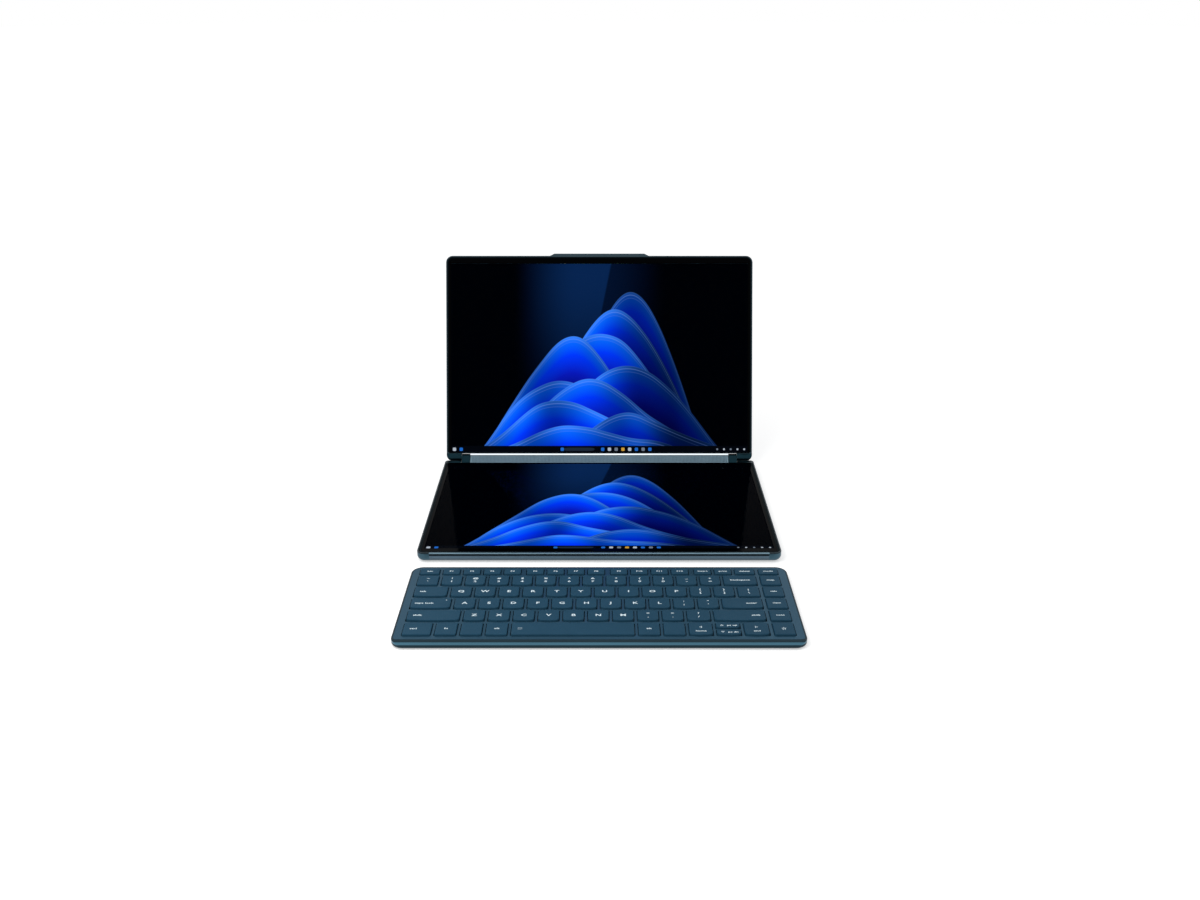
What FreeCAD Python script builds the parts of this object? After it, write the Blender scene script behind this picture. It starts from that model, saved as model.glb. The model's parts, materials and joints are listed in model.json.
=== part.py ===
import FreeCAD, Part
import math
import os
import re
import Sketcher

# A dual-screen laptop with a detached keyboard.
# Two thin screen halves hang on a central sound bar by two parallel hinge shafts at each end.
# The lower half lies on the table, the upper one leans back, and the keyboard lies in front.
# World frame: X to the right, Y away from the user, Z up, table at Z = 0, millimetres and degrees.

doc = FreeCAD.newDocument("DualScreenLaptop")
sheet = doc.addObject("Spreadsheet::Sheet", "Sizes")

# Driving dimensions
SIZES = {
    # screen halves, seen from above and in thickness
    "base_width": 299.0,
    "lid_inset": 1.0,
    "base_thick": 8.2,
    "lid_thick": 7.0,
    "corner_round": 6.5,
    "base_under_round": 4.4,
    "lid_under_round": 3.4,
    "edge_chamfer": 0.35,
    "base_wall": 1.2,
    "lid_wall": 1.0,
    "seam": 0.3,
    "base_frame_rim": 1.7,
    "lid_frame_rim": 0.9,
    "frame_height": 2.4,
    "frame_ledge": 1.6,
    # screens
    "glass_depth": 189.0,
    "glass_thick": 0.7,
    "glass_gap": 0.1,
    "glass_setback": 0.3,
    "glue": 0.05,
    "panel_thick": 1.6,
    "panel_gap": 0.3,
    "screen_bezel": 5.4,
    # central bar and its hinges
    "lid_tilt": 20.4,
    "base_axis_depth": 4.4,
    "lid_axis_depth": 3.7,
    "closed_gap": 0.5,
    "bar_radius": 3.75,
    "bar_gap": 0.35,
    "hinge_block_length": 15.6,
    "bar_end_gap": 0.4,
    "bar_wall": 0.8,
    "bar_cap": 2.0,
    "bearing_fit": 0.1,
    "bearing_plate": 2.0,
    "grille_end": 0.3,
    "grille_edge": 0.3,
    "grille_slot": 1.6,
    "grille_pitch": 5.0,
    "grille_border": 1.0,
    "trim_start": 126.0,
    "trim_sweep": 46.0,
    "speaker_length": 52.0,
    "speaker_end_gap": 4.9,
    "cone_border": 1.2,
    "shaft_radius": 1.2,
    "shaft_fit": 0.05,
    "shaft_seat": 12.0,
    "arm_length": 18.0,
    "arm_width": 10.0,
    "arm_thick": 1.2,
    "arm_fit": 0.1,
    "arm_inset": 1.0,
    "knuckle_corner": 3.4,
    # synchronising gears in the bar's ends
    "gear_module": 0.3,
    "gear_width": 3.0,
    "gear_side_gap": 0.3,
    "fixed_teeth": 14,
    "idler_teeth": 9,
    "idler_pin": 0.45,
    "idler_fit": 0.05,
    "tooth_backlash": 0.1,
    "tooth_root": 1.15,
    "tooth_tip": 0.9,
    "root_share": 1.75,
    "tip_share": 0.42,
    # inside the base
    "battery_side_gap": 27.5,
    "battery_board_gap": 13.5,
    "battery_thick": 4.2,
    "battery_front_gap": 8.0,
    "cell_groove": 1.6,
    "board_width": 150.0,
    "board_depth": 82.0,
    "board_thick": 0.8,
    "board_hinge_gap": 14.0,
    "board_side_gap": 52.5,
    "boss_height": 1.0,
    "boss_radius": 2.4,
    "chip_height": 1.0,
    "fan_side": 48.0,
    "fan_side_gap": 27.5,
    "fan_hinge_gap": 42.0,
    "fan_thick": 4.0,
    "fan_wall": 0.6,
    "fan_mouth": 16.0,
    "rotor_radius": 18.5,
    "rotor_hub": 7.5,
    "rotor_height": 2.4,
    "rotor_pin": 1.0,
    "rotor_fit": 0.05,
    "blade_count": 15,
    "blade_thick": 0.5,
    "fin_count": 16,
    "fin_height": 2.6,
    "fin_thick": 0.3,
    "pipe_width": 8.0,
    "pipe_thick": 1.1,
    "drive_width": 22.0,
    "drive_depth": 42.0,
    "drive_thick": 1.2,
    "vent_length": 9.0,
    "vent_width": 1.2,
    "vent_pitch": 3.6,
    "vent_count": 12,
    "base_foot": 0.9,
    "foot_length": 96.0,
    "foot_width": 6.0,
    "foot_inset": 13.0,
    "foot_side_gap": 15.5,
    "screw_head": 1.9,
    "screw_sink": 0.7,
    "screw_shank": 0.8,
    # ports and controls in the sides of the base
    "port_width": 9.0,
    "port_height": 3.2,
    "port_depth": 7.0,
    "port_shell": 0.3,
    "port_fit": 0.1,
    "port_height_under_top": 4.5,
    "port_first": 34.0,
    "port_pitch": 17.0,
    "tongue_width": 6.6,
    "tongue_thick": 0.7,
    "power_length": 13.0,
    "power_height": 2.2,
    "power_place": 78.0,
    "power_travel": 0.5,
    "control_fit": 0.15,
    "control_flange": 0.8,
    "control_depth": 1.2,
    "shutter_length": 4.0,
    "shutter_height": 1.4,
    "shutter_place": 98.0,
    "shutter_travel": 1.5,
    # lid details
    "bump_base": 96.0,
    "bump_top": 87.0,
    "bump_height": 2.2,
    "bump_thick": 4.4,
    "bump_front_step": 0.9,
    "camera_length": 70.0,
    "camera_thick": 0.8,
    "camera_lens": 1.2,
    "camera_lens_height": 0.9,
    "timing_width": 120.0,
    "timing_depth": 16.0,
    "timing_thick": 0.8,
    "timing_hinge_gap": 16.0,
    # keyboard case
    "kb_gap": 17.1,
    "kb_depth": 116.6,
    "kb_foot": 0.9,
    "kb_thick": 4.6,
    "kb_corner": 9.0,
    "kb_wall": 1.2,
    "kb_floor": 0.6,
    "kb_under_round": 1.6,
    "kb_lip": 5.5,
    "kb_lip_drop": 2.9,
    "kb_lip_crown": 1.5,
    "deck_plate": 1.2,
    "deck_gap": 0.15,
    "deck_front_round": 3.0,
    "membrane_thick": 0.4,
    "membrane_gap": 1.0,
    "kb_battery_width": 110.0,
    "kb_battery_depth": 36.0,
    "kb_battery_thick": 1.0,
    "kb_battery_front": 30.0,
    "rib_width": 1.6,
    "rib_gap": 0.6,
    "kb_foot_radius": 4.0,
    "kb_foot_inset": 12.0,
    "kb_port_place": 36.0,
    "kb_port_depth": 5.2,
    "kb_switch_place": 45.0,
    "kb_switch_length": 4.0,
    "kb_switch_height": 1.3,
    "kb_switch_travel": 2.0,
    "kb_switch_proud": 0.4,
    # keys
    "key_margin": 7.0,
    "column_margin": 7.4,
    "column_gap": 3.0,
    "column_width": 15.6,
    "row_units": 14.59,
    "row_gap": 2.75,
    "function_row": 9.3,
    "function_depth": 9.0,
    "function_row_gap": 2.4,
    "bottom_margin": 10.4,
    "bottom_row_gap": 2.95,
    "bottom_depth": 17.2,
    "key_height": 2.3,
    "key_proud": 1.1,
    "key_taper": 9.0,
    "key_corner": 0.8,
    "smile_corner": 2.6,
    "smile_rise": 3.0,
    "smile_share": 0.36,
    "smile_arc": 22.0,
    "well_gap": 0.35,
    "well_corner": 0.8,
    "key_gap": 2.45,
    "grave_width": 16.6,
    "tab_width": 25.9,
    "caps_width": 30.5,
    "shift_width": 39.5,
    "slash_width": 17.5,
    "escape_width": 15.9,
    "function_group_gap": 1.9,
    "control_key_width": 21.0,
    "arrow_width": 17.4,
    "arrow_split": 1.6,
    "half_row_width": 17.9,
}

# Sizes that follow from the driving ones, as formulas of their names
FORMULAS = {
    "base_half": "base_width / 2",
    "lid_half": "base_width / 2 - lid_inset",
    "hinge_edge": "bar_radius + bar_gap",
    "glass_edge": "hinge_edge + glass_setback",
    "base_rim": "base_wall + seam + base_frame_rim + glass_gap",
    "lid_rim": "lid_wall + seam + lid_frame_rim + glass_gap",
    "base_reach": "glass_edge + glass_depth + base_rim",
    "lid_reach": "glass_edge + glass_depth + lid_rim",
    "base_glass_half": "base_half - base_rim",
    "lid_glass_half": "lid_half - lid_rim",
    "base_under": "base_axis_depth - base_thick",
    "lid_under": "lid_axis_depth - lid_thick",
    "base_floor": "base_under + base_wall",
    "lid_floor": "lid_under + lid_wall",
    # hinge shafts: the lower axis is in the base, the upper one in the lid
    "axis_spacing": "base_axis_depth + lid_axis_depth + closed_gap",
    "half_open": "(90 + lid_tilt) / 2",
    "lean_depth": "axis_spacing * sin(half_open * 1deg) + (lid_reach + bump_height) * sin(lid_tilt * 1deg)"
                  " - lid_under * cos(lid_tilt * 1deg)",
    "whole_depth": "kb_depth + kb_gap + base_reach + lean_depth",
    "axis_y": "kb_depth + kb_gap + base_reach - whole_depth / 2",
    "axis_z": "base_foot - base_under",
    "upper_axis_y": "axis_y + axis_spacing * sin(half_open * 1deg)",
    "upper_axis_z": "axis_z + axis_spacing * cos(half_open * 1deg)",
    "keyboard_back": "kb_depth - whole_depth / 2",
    # along the bar, from its middle
    "bar_half": "base_half - hinge_block_length - bar_end_gap",
    "knuckle_start": "bar_half + bar_end_gap",
    "housing_half": "bar_half - bar_cap",
    "gear_end": "housing_half - gear_side_gap",
    "gear_start": "gear_end - gear_width",
    "plate_end": "gear_start - gear_side_gap",
    "plate_start": "plate_end - bearing_plate",
    "shaft_end": "knuckle_start + shaft_seat",
    "bar_inner": "bar_radius - bar_wall",
    "grille_half": "plate_start - grille_end",
    "speaker_centre": "grille_half - speaker_end_gap - speaker_length / 2",
    # gear centres: fixed gear, two idlers side by side, fixed gear
    "fixed_pitch": "gear_module * fixed_teeth / 2",
    "idler_pitch": "gear_module * idler_teeth / 2",
    "idler_reach": "fixed_pitch + idler_pitch",
    "idler_along": "(axis_spacing ^ 2 + 4 * idler_reach ^ 2 - 4 * idler_pitch ^ 2) / (4 * axis_spacing)",
    "idler_aside": "sqrt(idler_reach ^ 2 - idler_along ^ 2)",
    # inside the base
    "battery_width": "base_width - 2 * battery_side_gap",
    "battery_depth": "base_reach - base_wall - battery_front_gap - board_hinge_gap - board_depth"
                     " - battery_board_gap",
    "board_shift": "base_half - board_side_gap - board_width / 2",
    "fan_centre": "-(base_half - fan_side_gap - fan_side / 2)",
    "foot_centre": "base_half - foot_side_gap - foot_length / 2",
    "screw_length": "base_wall + boss_height - screw_sink",
    "board_top": "base_floor + boss_height + board_thick",
    "chip_top": "board_top + chip_height",
    "port_level": "base_axis_depth - port_height_under_top",
    # keyboard levels above the table
    "kb_top": "kb_foot + kb_thick",
    "kb_floor_top": "kb_foot + kb_floor",
    "deck_under": "kb_top - deck_plate",
    "kb_half": "base_width / 2",
    "membrane_under": "kb_floor_top + kb_battery_thick",
    "key_top": "kb_top + key_proud",
    "key_under": "key_top - key_height",
    "kb_port_level": "kb_floor_top + port_height / 2 + port_fit",
    # the key field: the side column keeps its width, and the rows fill what is left
    "key_left": "kb_half - key_margin",
    "column_left": "kb_half - column_margin - column_width",
    "key_right": "column_left - column_gap",
    "key_pitch": "(key_left + key_right + key_gap) / row_units",
    "key_width": "key_pitch - key_gap",
    "number_back": "function_row + function_depth / 2 + function_row_gap",
    "bottom_row": "kb_depth - bottom_margin - bottom_depth / 2",
    "key_depth": "(bottom_row - bottom_depth / 2 - bottom_row_gap - number_back - 3 * row_gap) / 4",
    "row_pitch": "key_depth + row_gap",
    "number_row": "number_back + key_depth / 2",
    "function_pitch": "(key_left + key_right - 2 * escape_width - key_gap - 3 * function_group_gap) / 14",
    "function_width": "function_pitch - key_gap",
    "function_group_pitch": "4 * function_pitch + function_group_gap",
    "number_row_end": "-key_left + grave_width + key_gap + 12 * key_pitch",
    "home_row_end": "-key_left + caps_width + key_gap + 11 * key_pitch",
    "half_row_left": "-key_left + shift_width + key_gap + 9 * key_pitch + slash_width + key_gap",
    "space_start": "-key_left + control_key_width + key_gap + 3 * key_pitch",
    "space_end": "half_row_left - 2 * key_gap - arrow_width - 2 * key_pitch",
}

for row_number, (size_name, size_value) in enumerate(SIZES.items(), start=1):
    sheet.set("A%d" % row_number, size_name)
    sheet.set("B%d" % row_number, str(size_value))
    sheet.setAlias("B%d" % row_number, size_name)
doc.recompute()


def formula(text):
    """Turn the size names in a formula into references to the sheet's cells."""

    def refer(match):
        word = match.group(0)
        if word in SIZES:
            return "Sizes." + word
        if word in FORMULAS:
            return "(" + formula(FORMULAS[word]) + ")"
        return word

    return re.sub(r"[a-z_]+", refer, str(text))


def size(text):
    """The number that a formula gives."""
    return float(sheet.evalExpression(formula(text)))


def bind(thing, property_name, text):
    """Tie a property to a formula of the sheet's cells."""
    thing.setExpression(property_name, formula(text))


# Where the sub-parts' own frames lie: base, bar and lid frames have their origin on a hinge axis
STATIONS = {
    "base": {"y": "axis_y", "z": "axis_z", "turn": None, "angle": "0"},
    "bar": {"y": "axis_y", "z": "axis_z", "turn": (-1, 0, 0), "angle": "half_open"},
    "lid": {"y": "upper_axis_y", "z": "upper_axis_z", "turn": (1, 0, 0), "angle": "90 - lid_tilt"},
    "keyboard": {"y": "keyboard_back", "z": "0", "turn": None, "angle": "0"},
}
# The plane that each sketch lies on, and whether its normal runs along (1) or against (-1) the axis
PLANES = {"XY": ("XY_Plane", 1), "XZ": ("XZ_Plane", -1), "YZ": ("YZ_Plane", 1)}

sub_parts = []
cuts = []


def place(thing, station):
    """Move a sub-part from its own frame to its station."""
    spot = STATIONS[station]
    if spot["turn"]:
        turn = FreeCAD.Rotation(FreeCAD.Vector(*spot["turn"]), size(spot["angle"]))
    else:
        turn = FreeCAD.Rotation()
    thing.Placement = FreeCAD.Placement(FreeCAD.Vector(0, size(spot["y"]), size(spot["z"])), turn)
    bind(thing, "Placement.Base.y", spot["y"])
    bind(thing, "Placement.Base.z", spot["z"])
    if spot["turn"]:
        bind(thing, "Placement.Rotation.Angle", spot["angle"])


def new_body(name):
    """A body that may hold several solids."""
    body = doc.addObject("PartDesign::Body", name)
    body.Label = name
    body.AllowCompound = True
    return body


def sub_part(name, station):
    """A body for one named sub-part, placed at its station."""
    body = new_body(name)
    place(body, station)
    sub_parts.append(body)
    return body


def sketch_on(body, name, plane, level):
    """An empty sketch on a plane of the body, shifted along that plane's axis to a level."""
    role, sense = PLANES[plane]
    sketch = body.newObject("Sketcher::SketchObject", name)
    support = [feature for feature in body.Origin.OriginFeatures if feature.Role == role][0]
    sketch.AttachmentSupport = [(support, "")]
    sketch.MapMode = "FlatFace"
    bind(sketch, "AttachmentOffset.Base.z", "%d * (%s)" % (sense, level))
    return sketch


def fix(sketch, kind, *arguments):
    """A dimension in a sketch, tied to the formula that comes last."""
    index = sketch.addConstraint(Sketcher.Constraint(kind, *arguments[:-1], size(arguments[-1])))
    bind(sketch, "Constraints[%d]" % index, arguments[-1])


def ring(x, y, radius):
    """Draws a circle."""

    def draw(sketch):
        centre = FreeCAD.Vector(size(x), size(y), 0)
        circle = sketch.addGeometry(Part.Circle(centre, FreeCAD.Vector(0, 0, 1), size(radius)))
        fix(sketch, "DistanceX", -1, 1, circle, 3, x)
        fix(sketch, "DistanceY", -1, 1, circle, 3, y)
        fix(sketch, "Radius", circle, radius)

    return draw


def level_outline(corners):
    """Draws a closed outline of level and upright sides, with a radius at each corner (None: sharp)."""

    def draw(sketch):
        count = len(corners)
        points = [FreeCAD.Vector(size(x), size(y), 0) for x, y, radius in corners]
        radii = [size(radius) if radius else 0.0 for x, y, radius in corners]
        along = [(points[(i + 1) % count] - points[i]).normalize() for i in range(count)]
        starts = [points[i] + along[i] * radii[i] for i in range(count)]
        ends = [points[(i + 1) % count] - along[i] * radii[(i + 1) % count] for i in range(count)]
        lines = [sketch.addGeometry(Part.LineSegment(starts[i], ends[i])) for i in range(count)]
        for i in range(count):
            x, y, radius = corners[i]
            if abs(along[i].x) > abs(along[i].y):
                sketch.addConstraint(Sketcher.Constraint("Horizontal", lines[i]))
                fix(sketch, "DistanceY", -1, 1, lines[i], 1, y)
            else:
                sketch.addConstraint(Sketcher.Constraint("Vertical", lines[i]))
                fix(sketch, "DistanceX", -1, 1, lines[i], 1, x)
            before = lines[i - 1]
            if not radius:
                sketch.addConstraint(Sketcher.Constraint("Coincident", before, 2, lines[i], 1))
                continue
            centre = starts[i] - along[i - 1] * radii[i]
            turns_left = along[i - 1].cross(along[i]).z > 0
            first, last = (ends[i - 1], starts[i]) if turns_left else (starts[i], ends[i - 1])
            first_angle = math.atan2(first.y - centre.y, first.x - centre.x)
            circle = Part.Circle(centre, FreeCAD.Vector(0, 0, 1), radii[i])
            arc = sketch.addGeometry(Part.ArcOfCircle(circle, first_angle, first_angle + math.pi / 2))
            from_before, to_next = (1, 2) if turns_left else (2, 1)
            sketch.addConstraint(Sketcher.Constraint("Tangent", before, 2, arc, from_before))
            sketch.addConstraint(Sketcher.Constraint("Tangent", arc, to_next, lines[i], 1))
            fix(sketch, "Radius", arc, radius)

    return draw


def block(x_low, x_high, y_low, y_high, radius=None, radius_high=None):
    """Draws a rectangle; radius_high, where given, is that of the two corners at y_high."""
    high = radius_high or radius
    return level_outline(
        [(x_low, y_low, radius), (x_high, y_low, radius), (x_high, y_high, high), (x_low, y_high, high)]
    )


def polygon(corners):
    """Draws a closed outline of straight sides between corners placed one by one."""

    def draw(sketch):
        count = len(corners)
        points = [FreeCAD.Vector(size(x), size(y), 0) for x, y in corners]
        lines = [
            sketch.addGeometry(Part.LineSegment(points[i], points[(i + 1) % count])) for i in range(count)
        ]
        for i in range(count):
            sketch.addConstraint(Sketcher.Constraint("Coincident", lines[i - 1], 2, lines[i], 1))
            fix(sketch, "DistanceX", -1, 1, lines[i], 1, corners[i][0])
            fix(sketch, "DistanceY", -1, 1, lines[i], 1, corners[i][1])

    return draw


def facet_block(x_low, x_high, y_low, y_high, radius, steps=1):
    """Draws a rectangle whose rounded corners are cut in a few flat steps."""
    corners = []
    for quarter, (x, y, sign_x, sign_y) in enumerate(
        ((x_high, y_high, -1, -1), (x_low, y_high, 1, -1), (x_low, y_low, 1, 1), (x_high, y_low, -1, 1))
    ):
        for step in range(steps + 1):
            angle = "%gdeg" % (90 * quarter + 90 * step / steps)
            corners.append(
                (
                    "(%s) + (%s) * (%d + cos(%s))" % (x, radius, sign_x, angle),
                    "(%s) + (%s) * (%d + sin(%s))" % (y, radius, sign_y, angle),
                )
            )
    return polygon(corners)


def small_ring(x, y, radius):
    """Draws a small circle as a twelve-sided outline."""
    return polygon(
        [
            ("%s + (%s) * cos(%ddeg)" % (x, radius, angle), "%s + (%s) * sin(%ddeg)" % (y, radius, angle))
            for angle in range(0, 360, 30)
        ]
    )


def stadium(radius, low, high):
    """Draws two half circles about (0, low) and (0, high), joined by upright lines."""

    def draw(sketch):
        r = size(radius)
        top = FreeCAD.Vector(0, size(high), 0)
        bottom = FreeCAD.Vector(0, size(low), 0)
        side = FreeCAD.Vector(r, 0, 0)
        normal = FreeCAD.Vector(0, 0, 1)
        right = sketch.addGeometry(Part.LineSegment(bottom + side, top + side))
        left = sketch.addGeometry(Part.LineSegment(top - side, bottom - side))
        upper = sketch.addGeometry(Part.ArcOfCircle(Part.Circle(top, normal, r), 0, math.pi))
        lower = sketch.addGeometry(Part.ArcOfCircle(Part.Circle(bottom, normal, r), math.pi, 2 * math.pi))
        for first, first_end, second, second_end in (
            (right, 2, upper, 1),
            (upper, 2, left, 1),
            (left, 2, lower, 1),
            (lower, 2, right, 1),
        ):
            sketch.addConstraint(Sketcher.Constraint("Tangent", first, first_end, second, second_end))
        sketch.addConstraint(Sketcher.Constraint("PointOnObject", upper, 3, -2))
        sketch.addConstraint(Sketcher.Constraint("PointOnObject", lower, 3, -2))
        fix(sketch, "DistanceY", -1, 1, upper, 3, high)
        fix(sketch, "DistanceY", -1, 1, lower, 3, low)
        fix(sketch, "Radius", upper, radius)

    return draw


def corner_waste(x_edge, y_edge, radius):
    """Draws what a rounding takes off a corner: two short sides along the edges and the arc inside.

    The signs of the radius pair say where the solid lies from the corner."""
    radius_x, radius_y = radius

    def draw(sketch):
        sign_x = math.copysign(1, size(radius_x))
        sign_y = math.copysign(1, size(radius_y))
        r = abs(size(radius_x))
        corner = FreeCAD.Vector(size(x_edge), size(y_edge), 0)
        on_level = corner + FreeCAD.Vector(sign_x * r, 0, 0)
        on_upright = corner + FreeCAD.Vector(0, sign_y * r, 0)
        centre = corner + FreeCAD.Vector(sign_x * r, sign_y * r, 0)
        level = sketch.addGeometry(Part.LineSegment(corner, on_level))
        upright = sketch.addGeometry(Part.LineSegment(corner, on_upright))
        first, last = (on_level, on_upright) if sign_x * sign_y < 0 else (on_upright, on_level)
        first_angle = math.atan2(first.y - centre.y, first.x - centre.x)
        circle = Part.Circle(centre, FreeCAD.Vector(0, 0, 1), r)
        arc = sketch.addGeometry(Part.ArcOfCircle(circle, first_angle, first_angle + math.pi / 2))
        level_end, upright_end = (1, 2) if first == on_level else (2, 1)
        sketch.addConstraint(Sketcher.Constraint("Coincident", level, 1, upright, 1))
        sketch.addConstraint(Sketcher.Constraint("Horizontal", level))
        sketch.addConstraint(Sketcher.Constraint("Vertical", upright))
        sketch.addConstraint(Sketcher.Constraint("Tangent", level, 2, arc, level_end))
        sketch.addConstraint(Sketcher.Constraint("Tangent", upright, 2, arc, upright_end))
        fix(sketch, "DistanceX", -1, 1, level, 1, x_edge)
        fix(sketch, "DistanceY", -1, 1, level, 1, y_edge)
        fix(sketch, "Radius", arc, "abs(%s)" % radius_x)

    return draw


def add(body, name, plane, level, draw, length, toward=1, taper=None):
    """Pad an outline from a level of a plane, along (1) or against (-1) that plane's axis."""
    sketch = sketch_on(body, name + "_outline", plane, level)
    draw(sketch)
    pad = body.newObject("PartDesign::Pad", name)
    pad.Profile = sketch
    bind(pad, "Length", length)
    pad.Reversed = toward * PLANES[plane][1] < 0
    if taper:
        bind(pad, "TaperAngle", "-(%s)" % taper)
    body.Tip = pad
    return pad


def cut(body, name, plane, level, draw, length, toward=1):
    """Pocket an outline from a level of a plane, along (1) or against (-1) that plane's axis."""
    before = body.Tip
    sketch = sketch_on(body, name + "_outline", plane, level)
    draw(sketch)
    pocket = body.newObject("PartDesign::Pocket", name)
    pocket.Profile = sketch
    bind(pocket, "Length", length)
    pocket.Reversed = toward * PLANES[plane][1] > 0
    body.Tip = pocket
    cuts.append((before, pocket))
    return pocket


def repeat(body, feature, direction, count, pitch):
    """Repeat a feature along a direction of its own sketch, at a pitch."""
    row = body.newObject("PartDesign::LinearPattern", feature.Name + "_row")
    row.Originals = [feature]
    row.Direction = (feature.Profile[0], [direction])
    bind(row, "Occurrences", count)
    bind(row, "Length", "(%s) * ((%s) - 1)" % (pitch, count))
    body.Tip = row
    return row


def mirror(body, features):
    """Mirror features to the other side of the middle plane."""
    middle = [plane for plane in body.Origin.OriginFeatures if plane.Role == "YZ_Plane"][0]
    copy = body.newObject("PartDesign::Mirrored", body.Name + "_other_side")
    copy.Originals = features
    copy.MirrorPlane = (middle, [""])
    body.Tip = copy
    return copy


def names_where(shape_list, kind, test):
    """Names of the edges or faces whose bounding box passes a test."""
    return ["%s%d" % (kind, i) for i, item in enumerate(shape_list, start=1) if test(item.BoundBox)]


def dress(body, kind, name, base, names, property_name, amount):
    """A fillet, chamfer or hollow on named edges or faces of a finished feature."""
    feature = body.newObject("PartDesign::" + kind, name)
    feature.Base = (base, names)
    bind(feature, property_name, amount)
    body.Tip = feature
    return feature


# The screen halves
NEAR = 0.01
BASE = {"name": "base", "toward": -1}
LID = {"name": "lid", "toward": 1}


def across(half, text):
    """A formula for a distance from the hinge axis, into the half."""
    return "%d * (%s)" % (half["toward"], text)


def span(half, near, far):
    """Two formulas for distances from the hinge axis, lower one first."""
    ends = [across(half, near), across(half, far)]
    return ends if half["toward"] > 0 else ends[::-1]


def half_block(half, x_half, near, far, far_round=None):
    """Draws a rectangle across a half, with rounded corners at its far side only."""
    low, high = span(half, near, far)
    if half["toward"] > 0:
        return block("-(%s)" % x_half, x_half, low, high, None, far_round)
    corners = [
        ("-(%s)" % x_half, low, far_round),
        (x_half, low, far_round),
        (x_half, high, None),
        ("-(%s)" % x_half, high, None),
    ]
    return level_outline(corners)


def make_tray(half):
    """The outer cover of a half: a shell with rounded sides, open under the screen."""
    name = half["name"]
    body = sub_part(name + "_cover", name)
    outline = half_block(half, name + "_half", "hinge_edge", name + "_reach", "corner_round")
    slab = add(body, name + "_slab", "XY", name + "_under", outline, name + "_thick")
    doc.recompute()
    hinge_edge = size(across(half, "hinge_edge"))
    under = size(name + "_under")

    def is_under_side(box):
        runs_along_hinge = abs(box.YMin - hinge_edge) < NEAR and abs(box.YMax - hinge_edge) < NEAR
        return abs(box.ZMax - under) < NEAR and not runs_along_hinge

    rounded = dress(
        body, "Fillet", name + "_round_sides", slab,
        names_where(slab.Shape.Edges, "Edge", is_under_side), "Radius", name + "_under_round",
    )
    doc.recompute()
    top = size(name + "_axis_depth")
    open_face = names_where(rounded.Shape.Faces, "Face", lambda box: abs(box.ZMin - top) < NEAR)
    shell = dress(body, "Thickness", name + "_shell", rounded, open_face, "Value", name + "_wall")
    shell.Reversed = True
    doc.recompute()
    outer = size(name + "_half")
    far = size(across(half, name + "_reach"))

    def is_outer_rim(box):
        on_top = abs(box.ZMin - top) < NEAR and abs(box.ZMax - top) < NEAR
        on_side = abs(abs(box.XMin) - outer) < NEAR or abs(abs(box.XMax) - outer) < NEAR
        on_far = abs(box.YMin - far) < NEAR or abs(box.YMax - far) < NEAR
        along_hinge = abs(box.YMin - hinge_edge) < NEAR and abs(box.YMax - hinge_edge) < NEAR
        return on_top and (on_side or on_far) and not along_hinge

    dress(
        body, "Chamfer", name + "_rim_chamfer", shell,
        names_where(shell.Shape.Edges, "Edge", is_outer_rim), "Size", "edge_chamfer",
    )
    # the wall along the hinge stays under the glass, which runs over it
    low, high = span(half, "hinge_edge - 1", "hinge_edge + %s_wall + 0.5" % name)
    glass_bed = block("-(%s_glass_half + glass_gap)" % name, "%s_glass_half + glass_gap" % name, low, high)
    cut(body, name + "_glass_bed", "XY", name + "_axis_depth", glass_bed, "glass_thick + glue", -1)
    # slots through the same wall for the hinge arms
    low, high = span(half, "hinge_edge - 1", "hinge_edge + %s_wall + 1" % name)
    arm_slot = block(
        "knuckle_start + arm_inset - arm_fit", "knuckle_start + arm_inset + arm_width + arm_fit", low, high,
    )
    slot = cut(body, name + "_arm_slot", "XY", name + "_floor", arm_slot, "arm_thick + arm_fit", 1)
    mirror(body, [slot])
    return body


def make_frame(half):
    """The slim frame round a screen: a rebate for the glass and a ledge that carries it."""
    name = half["name"]
    body = sub_part(name + "_frame", name)
    outer_half = "%s_half - %s_wall - seam" % (name, name)
    start = "hinge_edge + %s_wall + panel_gap" % name
    inner_round = "corner_round - %s_wall - seam" % name
    outline = half_block(
        half, outer_half, start, "%s_reach - %s_wall - seam" % (name, name), inner_round,
    )
    add(body, name + "_frame_ring", "XY", name + "_axis_depth", outline, "frame_height", -1)
    glass_half = "%s_glass_half + glass_gap" % name
    glass_far = "glass_edge + glass_depth + glass_gap"
    rebate = half_block(half, glass_half, "hinge_edge - 1", glass_far, "corner_round - %s_rim" % name)
    cut(body, name + "_rebate", "XY", name + "_axis_depth", rebate, "glass_thick + glue", -1)
    window = half_block(
        half, "%s_glass_half - frame_ledge" % name, "hinge_edge - 1", "glass_edge + glass_depth - frame_ledge",
    )
    cut(body, name + "_window", "XY", name + "_axis_depth", window, "frame_height + 1", -1)
    return body


def make_glass(half):
    """The cover glass of a screen, running over the wall at the hinge."""
    name = half["name"]
    body = sub_part(name + "_glass", name)
    outline = half_block(
        half, name + "_glass_half", "glass_edge", "glass_edge + glass_depth", "corner_round - %s_rim" % name,
    )
    add(body, name + "_pane", "XY", name + "_axis_depth", outline, "glass_thick", -1)
    return body


def make_panel(half):
    """The display panel bonded under the glass."""
    name = half["name"]
    body = sub_part(name + "_display_panel", name)
    outline = half_block(
        half, "%s_glass_half - frame_ledge - panel_gap" % name, "hinge_edge + %s_wall + panel_gap" % name,
        "glass_edge + glass_depth - screen_bezel",
    )
    level = "%s_axis_depth - glass_thick - glue" % name
    add(body, name + "_panel_slab", "XY", level, outline, "panel_thick", -1)
    return body


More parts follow.
